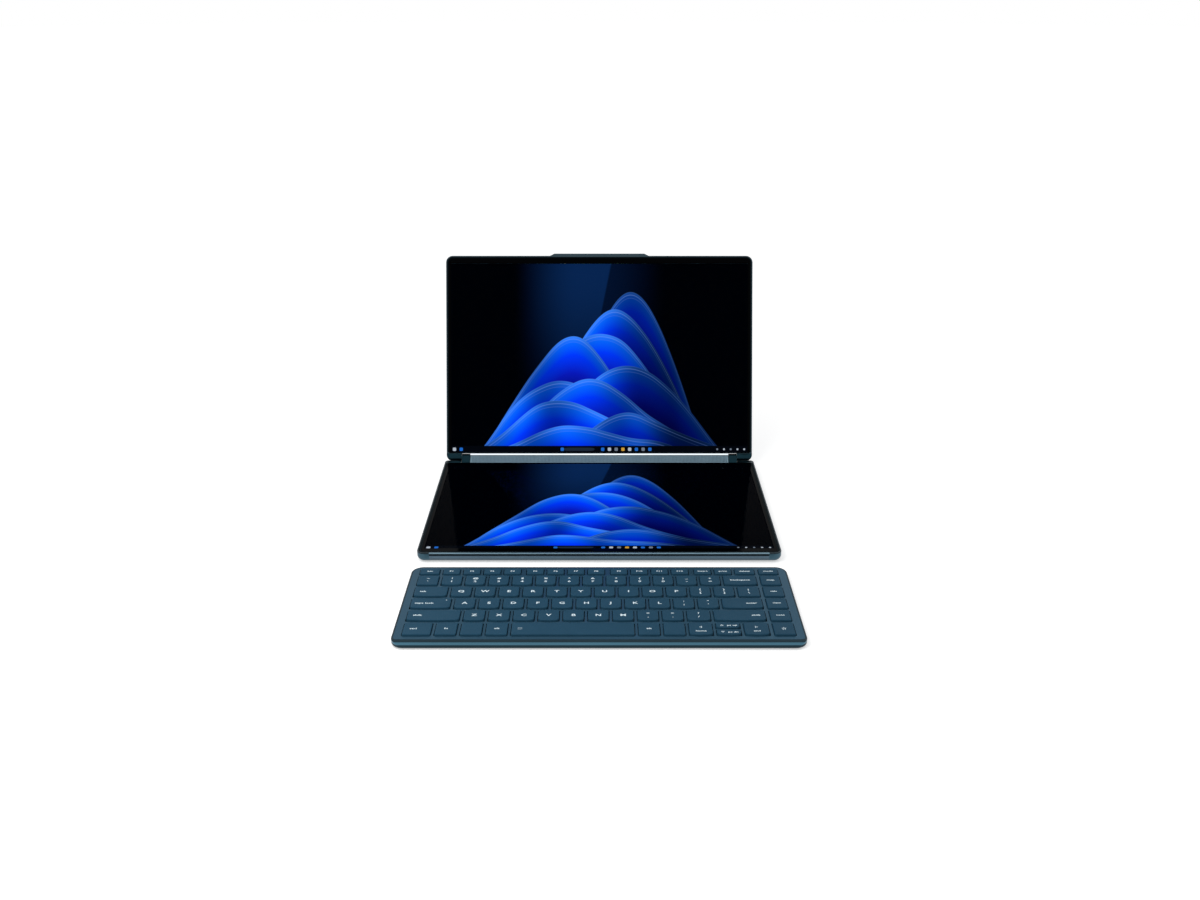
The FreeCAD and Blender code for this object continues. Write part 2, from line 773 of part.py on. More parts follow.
def make_knuckle(half, side):
    """A hinge block at one end of the bar: rounded round its axis, with an arm into the cover."""
    name = half["name"]
    hand = "right" if side > 0 else "left"
    body = sub_part("%s_hinge_%s" % (name, hand), name)
    inner = "%d * knuckle_start" % side
    outer = "%d * %s_half" % (side, name)
    low_x, high_x = (inner, outer) if side > 0 else (outer, inner)
    low_y, high_y = span(half, "-(%s_thick / 2)" % name, "hinge_edge")
    reach = across(half, "-(%s_thick / 2)" % name)
    add(
        body, "knuckle", "XY", name + "_under", block(low_x, high_x, low_y, high_y), name + "_thick",
    )
    # the end is round in side view, about the hinge axis
    tail = half["toward"]
    top_round = "%s_thick - %s_under_round" % (name, name)
    cut(
        body, "knuckle_top_round", "YZ", low_x,
        corner_waste(reach, name + "_axis_depth", ("%d * (%s)" % (tail, top_round), "-(%s)" % top_round)),
        "%s_half" % name, 1,
    )
    cut(
        body, "knuckle_under_round", "YZ", low_x,
        corner_waste(reach, name + "_under", ("%d * %s_under_round" % (tail, name), name + "_under_round")),
        "%s_half" % name, 1,
    )
    # outer side: the cover's rounding goes on, and the corner is rounded in plan
    cut(
        body, "knuckle_side_round", "XZ", across(half, "-%s_thick" % name),
        corner_waste(outer, name + "_under", ("%d * %s_under_round" % (-side, name), name + "_under_round")),
        "2 * %s_thick" % name, half["toward"],
    )
    cut(
        body, "knuckle_corner_round", "XY", name + "_axis_depth",
        corner_waste(outer, reach, ("%d * knuckle_corner" % -side, "%d * knuckle_corner" % tail)),
        "2 * %s_thick" % name, -1,
    )
    cut(body, "shaft_bore", "YZ", inner, ring("0", "0", "shaft_radius"), "shaft_seat", side)
    arm_low, arm_high = span(half, "hinge_edge", "hinge_edge + %s_wall + arm_length" % name)
    arm_start = "knuckle_start + arm_inset"
    arm_x = sorted(["%d * (%s)" % (side, arm_start), "%d * (%s + arm_width)" % (side, arm_start)], key=size)
    add(body, "arm", "XY", name + "_floor", block(*arm_x, arm_low, arm_high), "arm_thick")
    hole_y = across(half, "hinge_edge + %s_wall + arm_length / 2" % name)
    hole = ring("%d * (%s + arm_width / 2)" % (side, arm_start), hole_y, "screw_shank + shaft_fit")
    cut(body, "arm_hole", "XY", name + "_floor", hole, "arm_thick", 1)
    return body


def make_shafts(half):
    """The two hinge shafts of a half: pressed into its blocks, turning in the bar's bearings."""
    name = half["name"]
    body = sub_part(name + "_hinge_shafts", name)
    shaft = add(body, "shaft", "YZ", "plate_start", ring("0", "0", "shaft_radius"), "shaft_end - plate_start")
    mirror(body, [shaft])
    return body


def gear_outline(teeth, first_tooth):
    """A closed wire of one gear in the YZ plane, its first tooth at an angle from the Y axis."""
    module = size("gear_module")
    pitch_radius = module * teeth / 2
    half_tooth = math.pi * module / 4 - size("tooth_backlash") / 2
    # each flank runs straight from the root to the tip: radius, and width as a share of that at the pitch line
    flank = [
        (pitch_radius - size("tooth_root") * module, size("root_share")),
        (pitch_radius + size("tooth_tip") * module, size("tip_share")),
    ]
    corners = []
    for number in range(teeth):
        middle = first_tooth + 2 * math.pi * number / teeth
        for radius, share in flank:
            corners.append((radius, middle - half_tooth * share / radius))
        for radius, share in reversed(flank):
            corners.append((radius, middle + half_tooth * share / radius))
    points = [FreeCAD.Vector(0, r * math.cos(a), r * math.sin(a)) for r, a in corners]
    return Part.makePolygon(points + points[:1])


def make_gears(name, station, teeth, first_tooth, bore, centre):
    """A gear at each end of the bar, as one sub-part of two solids about the same axis."""
    width = size("gear_width")
    gears = []
    for start in (size("gear_start"), -size("gear_end")):
        disc = Part.Face(gear_outline(teeth, first_tooth)).extrude(FreeCAD.Vector(width, 0, 0))
        hole = Part.makeCylinder(bore, width, FreeCAD.Vector(0, 0, 0), FreeCAD.Vector(1, 0, 0))
        gear = disc.cut(hole)
        gear.translate(FreeCAD.Vector(start, centre[0], centre[1]))
        gears.append(gear)
    feature = doc.addObject("Part::Feature", name)
    feature.Label = name
    feature.Shape = Part.makeCompound(gears)
    place(feature, station)
    sub_parts.append(feature)
    return feature


def make_gear_train():
    """Gears on the shafts and two idlers between them, which make both halves open by the same angle.

    All angles are measured in the bar's frame, whose Z runs from the lower axis to the upper one."""
    fixed, idler = int(size("fixed_teeth")), int(size("idler_teeth"))
    along, aside, spacing = size("idler_along"), size("idler_aside"), size("axis_spacing")
    centres = [(0.0, 0.0), (aside, along), (-aside, spacing - along), (0.0, spacing)]
    teeth = [fixed, idler, idler, fixed]
    angles = [0.0]
    for i in range(3):
        sight = math.atan2(centres[i + 1][1] - centres[i][1], centres[i + 1][0] - centres[i][0])
        turned = (angles[i] - sight) * teeth[i] / teeth[i + 1]
        angles.append(sight + math.pi + math.pi / teeth[i + 1] - turned)
    press = size("shaft_radius")
    loose = size("idler_pin + idler_fit")
    half_open = math.radians(size("half_open"))
    lid_turn = math.radians(size("90 - lid_tilt")) + half_open
    make_gears("base_sync_gears", "base", fixed, angles[0] - half_open, press, (0.0, 0.0))
    make_gears("lower_idler_gears", "bar", idler, angles[1], loose, centres[1])
    make_gears("upper_idler_gears", "bar", idler, angles[2], loose, centres[2])
    make_gears("lid_sync_gears", "lid", fixed, angles[3] - lid_turn, press, (0.0, 0.0))


# The sound bar between the halves
def make_bar_housing():
    """The bar's tube, with a window for the grille and a slot for the bright strip."""
    body = sub_part("soundbar_housing", "bar")
    add(body, "tube", "YZ", "-housing_half", stadium("bar_radius", "0", "axis_spacing"), "2 * housing_half")
    cut(body, "bore", "YZ", "-housing_half", stadium("bar_inner", "0", "axis_spacing"), "2 * housing_half", 1)
    window = block("-grille_half", "grille_half", "grille_edge", "axis_spacing - grille_edge")
    cut(body, "grille_window", "XZ", "-bar_radius - 1", window, "bar_wall + 2", 1)
    sector = body.newObject("PartDesign::SubtractiveCylinder", "strip_slot")
    bind(sector, "Radius", "bar_radius + 1")
    bind(sector, "Height", "2 * grille_half")
    bind(sector, "Angle", "trim_sweep")
    turn = FreeCAD.Rotation(FreeCAD.Vector(1, 0, 0), size("trim_start + 90"))
    lay = FreeCAD.Rotation(FreeCAD.Vector(0, 1, 0), 90)
    sector.Placement = FreeCAD.Placement(
        FreeCAD.Vector(-size("grille_half"), 0, size("axis_spacing")), turn.multiply(lay)
    )
    bind(sector, "Placement.Base.x", "-grille_half")
    bind(sector, "Placement.Base.z", "axis_spacing")
    body.Tip = sector
    return body


def make_bar_trim():
    """The bright strip along the bar's upper front edge: a slice of its tube."""
    outer = doc.addObject("Part::Cylinder", "strip_outside")
    inner = doc.addObject("Part::Cylinder", "strip_inside")
    turn = FreeCAD.Rotation(FreeCAD.Vector(1, 0, 0), size("trim_start + 90"))
    lay = FreeCAD.Rotation(FreeCAD.Vector(0, 1, 0), 90)
    for cylinder, radius in ((outer, "bar_radius"), (inner, "bar_inner")):
        bind(cylinder, "Radius", radius)
        bind(cylinder, "Height", "2 * grille_half")
        cylinder.Placement = FreeCAD.Placement(
            FreeCAD.Vector(-size("grille_half"), 0, size("axis_spacing")), turn.multiply(lay)
        )
        bind(cylinder, "Placement.Base.x", "-grille_half")
        bind(cylinder, "Placement.Base.z", "axis_spacing")
    bind(outer, "Angle", "trim_sweep")
    strip = doc.addObject("Part::Cut", "soundbar_trim")
    strip.Label = "soundbar_trim"
    strip.Base = outer
    strip.Tool = inner
    place(strip, "bar")
    sub_parts.append(strip)


def make_grille():
    """The grille over the speakers: a plate with a row of slots."""
    body = sub_part("soundbar_grille", "bar")
    plate = block(
        "-grille_half + bar_end_gap", "grille_half - bar_end_gap",
        "grille_edge + glue", "axis_spacing - grille_edge - glue",
    )
    add(body, "grille_plate", "XZ", "-bar_radius", plate, "bar_wall", 1)
    slot_count = "2 * floor((grille_half - bar_end_gap - grille_border) / grille_pitch) - 1"
    first = "-(floor((grille_half - bar_end_gap - grille_border) / grille_pitch) - 1) * grille_pitch"
    slot = cut(
        body, "grille_opening", "XZ", "-bar_radius",
        block(
            "%s - grille_slot / 2" % first, "%s + grille_slot / 2" % first,
            "grille_edge + grille_border", "axis_spacing - grille_edge - grille_border",
        ),
        "bar_wall", 1,
    )
    repeat(body, slot, "H_Axis", slot_count, "grille_pitch")
    return body


def make_speakers():
    """Two slim speaker boxes in the bar, each with a round cone well facing the grille."""
    body = sub_part("soundbar_speakers", "bar")
    outline = block(
        "speaker_centre - speaker_length / 2", "speaker_centre + speaker_length / 2",
        "grille_edge + glue", "axis_spacing - grille_edge - glue",
    )
    box = add(body, "speaker_box", "XZ", "bar_inner", outline, "bar_inner + bar_radius - 2 * bar_wall", -1)
    cone = cut(
        body, "cone_well", "XZ", "-(bar_radius - 2 * bar_wall)",
        facet_block(
            "speaker_centre - speaker_length / 4", "speaker_centre + speaker_length / 4",
            "grille_edge + cone_border", "axis_spacing - grille_edge - cone_border", "bar_radius / 2", 3,
        ),
        "bar_wall", 1,
    )
    mirror(body, [box, cone])
    return body


def make_bearing(side):
    """An end block of the bar: cap, inner plate and the idlers' pins, bored for both shafts."""
    body = sub_part("soundbar_bearing_" + ("right" if side > 0 else "left"), "bar")
    outline = stadium("bar_radius", "0", "axis_spacing")
    add(body, "cap", "YZ", "%d * housing_half" % side, outline, "bar_cap", side)
    add(
        body, "inner_plate", "YZ", "%d * plate_start" % side,
        stadium("bar_inner - bearing_fit", "0", "axis_spacing"), "bearing_plate", side,
    )
    for number, place_across, place_along in (
        (1, "idler_aside", "idler_along"),
        (2, "-idler_aside", "axis_spacing - idler_along"),
    ):
        pin = small_ring(place_across, place_along, "idler_pin")
        add(body, "idler_pin_%d" % number, "YZ", "%d * plate_end" % side, pin, "housing_half - plate_end", side)
    for number, level in ((1, "0"), (2, "axis_spacing")):
        bore = ring("0", level, "shaft_radius + shaft_fit")
        cut(body, "bore_%d" % number, "YZ", "%d * plate_start" % side, bore, "bar_half - plate_start", side)
    return body


# Inside the base
def make_base_details():
    """Ports, control slots, vents, board bosses and screw holes of the base cover."""
    cover = doc.getObject("base_cover")
    wall_start = "base_half - base_under_round"
    for number, side, distance in (
        (1, 1, "port_first"), (2, 1, "port_first + port_pitch"), (3, -1, "port_first"),
    ):
        port = facet_block(
            "-(%s) - port_width / 2 - port_fit" % distance, "-(%s) + port_width / 2 + port_fit" % distance,
            "port_level - port_height / 2 - port_fit", "port_level + port_height / 2 + port_fit",
            "port_height / 2", 3,
        )
        cut(cover, "port_%d" % number, "YZ", "%d * (%s)" % (side, wall_start), port, "base_under_round + 1", side)
    power = facet_block(
        "-power_place - power_length / 2 - control_fit", "-power_place + power_length / 2 + control_fit",
        "port_level - power_height / 2 - control_fit", "port_level + power_height / 2 + control_fit",
        "power_height / 2", 3,
    )
    cut(cover, "power_slot", "YZ", wall_start, power, "base_under_round + 1", 1)
    shutter = facet_block(
        "-shutter_place - shutter_length / 2 - shutter_travel - control_fit",
        "-shutter_place + shutter_length / 2 + control_fit",
        "port_level - shutter_height / 2 - control_fit", "port_level + shutter_height / 2 + control_fit",
        "shutter_height / 2", 3,
    )
    cut(cover, "shutter_slot", "YZ", wall_start, shutter, "base_under_round + 1", 1)
    first = "fan_centre - (vent_count - 1) / 2 * vent_pitch"
    intake = block(
        "%s - vent_width / 2" % first, "%s + vent_width / 2" % first,
        "-fan_hinge_gap - vent_length / 2", "-fan_hinge_gap + vent_length / 2",
    )
    slot = cut(cover, "intake_vent", "XY", "base_under - 1", intake, "base_wall + 1.5", 1)
    repeat(cover, slot, "H_Axis", "vent_count", "vent_pitch")
    exhaust = block(
        "%s - vent_width" % first, "%s + vent_width" % first, "base_floor + glue", "base_floor + fin_height",
    )
    slot = cut(cover, "exhaust_vent", "XZ", "-hinge_edge - base_wall - 0.5", exhaust, "base_wall + 1", 1)
    repeat(cover, slot, "H_Axis", "vent_count", "vent_pitch")
    for number, (x, y) in enumerate(board_holes(), start=1):
        add(cover, "boss_%d" % number, "XY", "base_floor - base_wall / 2", small_ring(x, y, "boss_radius"),
            "boss_height + base_wall / 2", 1)
        cut(cover, "screw_seat_%d" % number, "XY", "base_under", small_ring(x, y, "screw_head + shaft_fit"),
            "screw_sink", 1)
        cut(cover, "screw_hole_%d" % number, "XY", "base_under", small_ring(x, y, "screw_shank"),
            "screw_sink + screw_length", 1)


def board_holes():
    """Where the main board's screws go, near its corners."""
    inset = "boss_radius + 1"
    near = "-(board_hinge_gap + %s)" % inset
    far = "-(board_hinge_gap + board_depth - %s)" % inset
    left = "board_shift - board_width / 2 + %s" % inset
    right = "board_shift + board_width / 2 - %s" % inset
    return [(left, near), (right, near), (left, far), (right, far)]


def make_main_board():
    """The main board on its bosses, with processor, memory and the drive's socket."""
    body = sub_part("main_board", "base")
    outline = block(
        "board_shift - board_width / 2", "board_shift + board_width / 2",
        "-(board_hinge_gap + board_depth)", "-board_hinge_gap",
    )
    add(body, "board", "XY", "base_floor + boss_height", outline, "board_thick", 1)
    middle = "-(board_hinge_gap + board_depth / 2)"
    chips = {
        "processor": ("board_shift - 50", "board_shift - 20", "%s - 11" % middle, "%s + 11" % middle),
        "memory_near": ("board_shift - 12", "board_shift + 2", "%s + 2" % middle, "%s + 14" % middle),
        "memory_far": ("board_shift - 12", "board_shift + 2", "%s - 14" % middle, "%s - 2" % middle),
        "radio": ("board_shift + 12", "board_shift + 28", "%s + 8" % middle, "%s + 22" % middle),
        "drive_socket": (
            "board_shift + board_width / 2 - 34", "board_shift + board_width / 2 - 12",
            "-(board_hinge_gap + 16)", "-(board_hinge_gap + 10)",
        ),
    }
    for name, sides in chips.items():
        add(body, name, "XY", "board_top", block(*sides), "chip_height", 1)
    return body


def make_drive():
    """The storage drive, resting on its socket above the board."""
    body = sub_part("storage_drive", "base")
    centre = "board_shift + board_width / 2 - 23"
    outline = block(
        "%s - drive_width / 2" % centre, "%s + drive_width / 2" % centre,
        "-(board_hinge_gap + 10 + drive_depth)", "-(board_hinge_gap + 10)",
    )
    add(body, "drive", "XY", "chip_top", outline, "drive_thick", 1)
    return body


def make_battery():
    """The battery: three cells in one pack, on the floor at the front."""
    body = sub_part("battery_pack", "base")
    front = "-(base_reach - base_wall - battery_front_gap)"
    back = "%s + battery_depth" % front
    outline = facet_block("-battery_width / 2", "battery_width / 2", front, back, "cell_groove")
    add(body, "cells", "XY", "base_floor", outline, "battery_thick", 1)
    groove = block(
        "-battery_width / 6 - cell_groove / 2", "-battery_width / 6 + cell_groove / 2",
        "%s - 1" % front, "%s + 1" % back,
    )
    gap = cut(body, "cell_gap", "XY", "base_floor + battery_thick", groove, "cell_groove / 2", -1)
    repeat(body, gap, "H_Axis", "2", "battery_width / 3")
    return body


def make_fan():
    """The fan's flat housing with a round mouth, and its rotor with curved blades."""
    housing = sub_part("fan_housing", "base")
    low, high = "-fan_hinge_gap - fan_side / 2", "-fan_hinge_gap + fan_side / 2"
    left, right = "fan_centre - fan_side / 2", "fan_centre + fan_side / 2"
    add(housing, "fan_box", "XY", "base_floor", facet_block(left, right, low, high, "boss_radius"),
        "fan_thick", 1)
    inside = block(
        "%s + fan_wall" % left, "%s - fan_wall" % right, "%s + fan_wall" % low, "%s + 1" % high,
    )
    cut(housing, "fan_inside", "XY", "base_floor + fan_wall", inside, "fan_thick - 2 * fan_wall", 1)
    mouth = ring("fan_centre", "-fan_hinge_gap", "fan_mouth")
    cut(housing, "fan_mouth_top", "XY", "base_floor + fan_thick", mouth, "fan_wall", -1)
    add(housing, "rotor_post", "XY", "base_floor", ring("fan_centre", "-fan_hinge_gap", "rotor_pin"),
        "fan_thick - fan_wall", 1)
    rotor = sub_part("fan_rotor", "base")
    start = "base_floor + fan_wall + fan_wall / 2"
    add(rotor, "hub", "XY", start, ring("fan_centre", "-fan_hinge_gap", "rotor_hub"), "rotor_height", 1)
    cut(rotor, "hub_bore", "XY", start, ring("fan_centre", "-fan_hinge_gap", "rotor_pin + rotor_fit"),
        "rotor_height", 1)
    blade_foot = "rotor_hub - 0.5"
    blade = polygon(
        [
            ("fan_centre + %s" % blade_foot, "-fan_hinge_gap"),
            ("fan_centre + (rotor_hub + rotor_radius) / 2", "-fan_hinge_gap + 1.2"),
            ("fan_centre + rotor_radius * cos(14deg)", "-fan_hinge_gap + rotor_radius * sin(14deg)"),
            ("fan_centre + rotor_radius * cos(14deg) - blade_thick", "-fan_hinge_gap + rotor_radius * sin(14deg)"),
            ("fan_centre + (rotor_hub + rotor_radius) / 2", "-fan_hinge_gap + 1.2 + blade_thick"),
            ("fan_centre + %s" % blade_foot, "-fan_hinge_gap + blade_thick"),
        ]
    )
    pad = add(rotor, "blade", "XY", start, blade, "rotor_height", 1)
    circle = rotor.newObject("PartDesign::PolarPattern", "blades")
    axis_sketch = sketch_on(rotor, "rotor_axis", "XY", start)
    ring("fan_centre", "-fan_hinge_gap", "rotor_hub")(axis_sketch)
    bind(axis_sketch, "AttachmentOffset.Base.x", "fan_centre")
    bind(axis_sketch, "AttachmentOffset.Base.y", "-fan_hinge_gap")
    circle.Originals = [pad]
    circle.Axis = (axis_sketch, ["N_Axis"])
    circle.Angle = 360
    bind(circle, "Occurrences", "blade_count")
    rotor.Tip = circle
    return housing


def make_heat_sink():
    """Fins behind the fan, and the flat heat pipe that runs to them from the processor."""
    body = sub_part("heat_sink", "base")
    left, right = "fan_centre - fan_side / 2", "fan_centre + fan_side / 2"
    back = "-(hinge_edge + base_wall + panel_gap)"
    front = "-(fan_hinge_gap - fan_side / 2 - panel_gap)"
    add(body, "fin_base", "XY", "base_floor", block(left, right, front, back), "fin_thick", 1)
    first = "(%s)" % left
    fin = add(
        body, "fin", "XY", "base_floor + fin_thick / 2",
        block(first, "%s + fin_thick" % first, front, back), "chip_top - base_floor - fin_thick / 2", 1,
    )
    repeat(body, fin, "H_Axis", "fin_count", "(fan_side - fin_thick) / (fin_count - 1)")
    pipe_low = "-(board_hinge_gap + board_depth / 2) - pipe_width / 2"
    pipe_high = "(%s + %s) / 2" % (front, back)
    run = level_outline(
        [
            ("fan_centre - fan_side / 2", pipe_high + " - pipe_width / 2", None),
            ("board_shift - 50 - pipe_width", pipe_high + " - pipe_width / 2", "pipe_width"),
            ("board_shift - 50 - pipe_width", pipe_low, "2 * pipe_width"),
            ("board_shift - 20", pipe_low, None),
            ("board_shift - 20", pipe_low + " + pipe_width", None),
            ("board_shift - 50", pipe_low + " + pipe_width", "pipe_width"),
            ("board_shift - 50", pipe_high + " + pipe_width / 2", "2 * pipe_width"),
            ("fan_centre - fan_side / 2", pipe_high + " + pipe_width / 2", None),
        ]
    )
    add(body, "heat_pipe", "XY", "chip_top", run, "pipe_thick", 1)
    return body


def socket_solid(body, name, plane_x, side, y, level, depth):
    """A USB-C socket: an oval shell, closed at its back, round a tongue."""
    shell = facet_block(
        "%s - port_width / 2" % y, "%s + port_width / 2" % y,
        "%s - port_height / 2" % level, "%s + port_height / 2" % level, "port_height / 2 - glue", 3,
    )
    hollow = facet_block(
        "%s - port_width / 2 + port_shell" % y, "%s + port_width / 2 - port_shell" % y,
        "%s - port_height / 2 + port_shell" % level, "%s + port_height / 2 - port_shell" % level,
        "port_height / 2 - port_shell - glue", 3,
    )
    tongue = block(
        "%s - tongue_width / 2" % y, "%s + tongue_width / 2" % y,
        "%s - tongue_thick / 2" % level, "%s + tongue_thick / 2" % level,
    )
    back = "%s - %d * (%s)" % (plane_x, side, depth)
    return [
        add(body, name + "_shell", "YZ", back, shell, depth, side),
        cut(body, name + "_hollow", "YZ", plane_x, hollow, "%s - 1" % depth, -side),
        add(body, name + "_tongue", "YZ", back, tongue, "%s - 1" % depth, side),
    ]


def make_ports():
    """The three USB-C sockets in the sides of the base."""
    body = sub_part("usb_c_sockets", "base")
    for name, side, distance in (
        ("near", 1, "port_first"), ("far", 1, "port_first + port_pitch"), ("left", -1, "port_first"),
    ):
        mouth = "%d * (base_half - base_wall - port_fit)" % side
        socket_solid(body, name, mouth, side, "-(%s)" % distance, "port_level", "port_depth")
    return body


def make_controls():
    """The power button and the camera shutter's slider in the right side of the base."""
    inside = "base_half - base_wall - port_fit"
    power = sub_part("power_button", "base")
    cap = facet_block(
        "-power_place - power_length / 2", "-power_place + power_length / 2",
        "port_level - power_height / 2", "port_level + power_height / 2", "power_height / 2 - glue", 3,
    )
    flange = block(
        "-power_place - power_length / 2 - control_flange", "-power_place + power_length / 2 + control_flange",
        "port_level - power_height / 2", "port_level + power_height / 2",
    )
    add(power, "power_flange", "YZ", "%s - control_depth" % inside, flange, "control_depth - power_travel", 1)
    add(power, "power_cap", "YZ", "%s - control_depth" % inside, cap, "base_wall + port_fit + control_depth", 1)
    shutter = sub_part("camera_switch", "base")
    knob = facet_block(
        "-shutter_place - shutter_length / 2", "-shutter_place + shutter_length / 2",
        "port_level - shutter_height / 2", "port_level + shutter_height / 2", "shutter_height / 2 - glue", 3,
    )
    plate = block(
        "-shutter_place - shutter_length / 2 - control_flange - shutter_travel",
        "-shutter_place + shutter_length / 2 + control_flange + shutter_travel",
        "port_level - shutter_height / 2 - control_flange / 2",
        "port_level + shutter_height / 2 + control_flange / 2",
    )
    plate_top = "base_half - base_under_round + control_depth"
    add(shutter, "shutter_plate", "YZ", "%s - control_depth" % plate_top, plate, "control_depth", 1)
    add(shutter, "shutter_knob", "YZ", plate_top, knob, "base_half - (%s)" % plate_top, 1)


def make_base_feet():
    """Four long rubber feet under the base."""
    body = sub_part("base_feet", "base")
    pads = []
    for name, y in (("front", "-(base_reach - foot_inset)"), ("back", "-foot_inset")):
        outline = facet_block(
            "foot_centre - foot_length / 2", "foot_centre + foot_length / 2",
            "%s - foot_width / 2" % y, "%s + foot_width / 2" % y, "foot_width / 2 - glue", 5,
        )
        pads.append(add(body, name + "_foot", "XY", "base_under", outline, "base_foot", -1))
    mirror(body, pads)
    return body


def make_base_screws():
    """The screws that hold the main board's corners through the cover."""
    body = sub_part("base_screws", "base")
    for number, (x, y) in enumerate(board_holes(), start=1):
        add(body, "screw_head_%d" % number, "XY", "base_under", small_ring(x, y, "screw_head"), "screw_sink", 1)
        add(body, "screw_shank_%d" % number, "XY", "base_under + screw_sink", small_ring(x, y, "screw_shank"),
            "screw_length", 1)
    return body


# Lid details
def make_camera():
    """The widened top edge of the lid and the camera strip behind the glass."""
    cover = doc.getObject("lid_cover")
    far = "lid_reach"
    bump = polygon(
        [
            ("-bump_base / 2", "%s - lid_wall" % far),
            ("bump_base / 2", "%s - lid_wall" % far),
            ("bump_base / 2", far),
            ("bump_top / 2", "%s + bump_height" % far),
            ("-bump_top / 2", "%s + bump_height" % far),
            ("-bump_base / 2", far),
        ]
    )
    add(cover, "camera_bump", "XY", "lid_axis_depth - bump_front_step", bump, "bump_thick", -1)
    body = sub_part("camera_module", "lid")
    # the strip lies between the display panel and the frame, and its lens looks out through the glass
    high = "glass_edge + glass_depth - frame_ledge - panel_gap"
    low = "glass_edge + glass_depth - screen_bezel + panel_gap"
    glass_under = "lid_axis_depth - glass_thick"
    add(body, "camera_board", "XY", "%s - camera_lens_height" % glass_under,
        block("-camera_length / 2", "camera_length / 2", low, high), "camera_thick", -1)
    add(body, "camera_barrel", "XY", "%s - camera_lens_height" % glass_under,
        small_ring("0", "(%s + %s) / 2" % (low, high), "camera_lens"), "camera_lens_height", 1)
    return body


def make_timing_board():
    """The display's own board, on the inside of the lid cover near the hinge."""
    body = sub_part("display_board", "lid")
    outline = block(
        "-timing_width / 2", "timing_width / 2",
        "timing_hinge_gap", "timing_hinge_gap + timing_depth",
    )
    add(body, "timing_plate", "XY", "lid_floor", outline, "timing_thick", 1)
    for number, shift in enumerate(("-36", "-4", "30"), start=1):
        chip = block(
            "%s - 5" % shift, "%s + 5" % shift,
            "timing_hinge_gap + 3", "timing_hinge_gap + timing_depth - 3",
        )
        add(body, "timing_chip_%d" % number, "XY", "lid_floor + timing_thick", chip, "chip_height", 1)
    return body


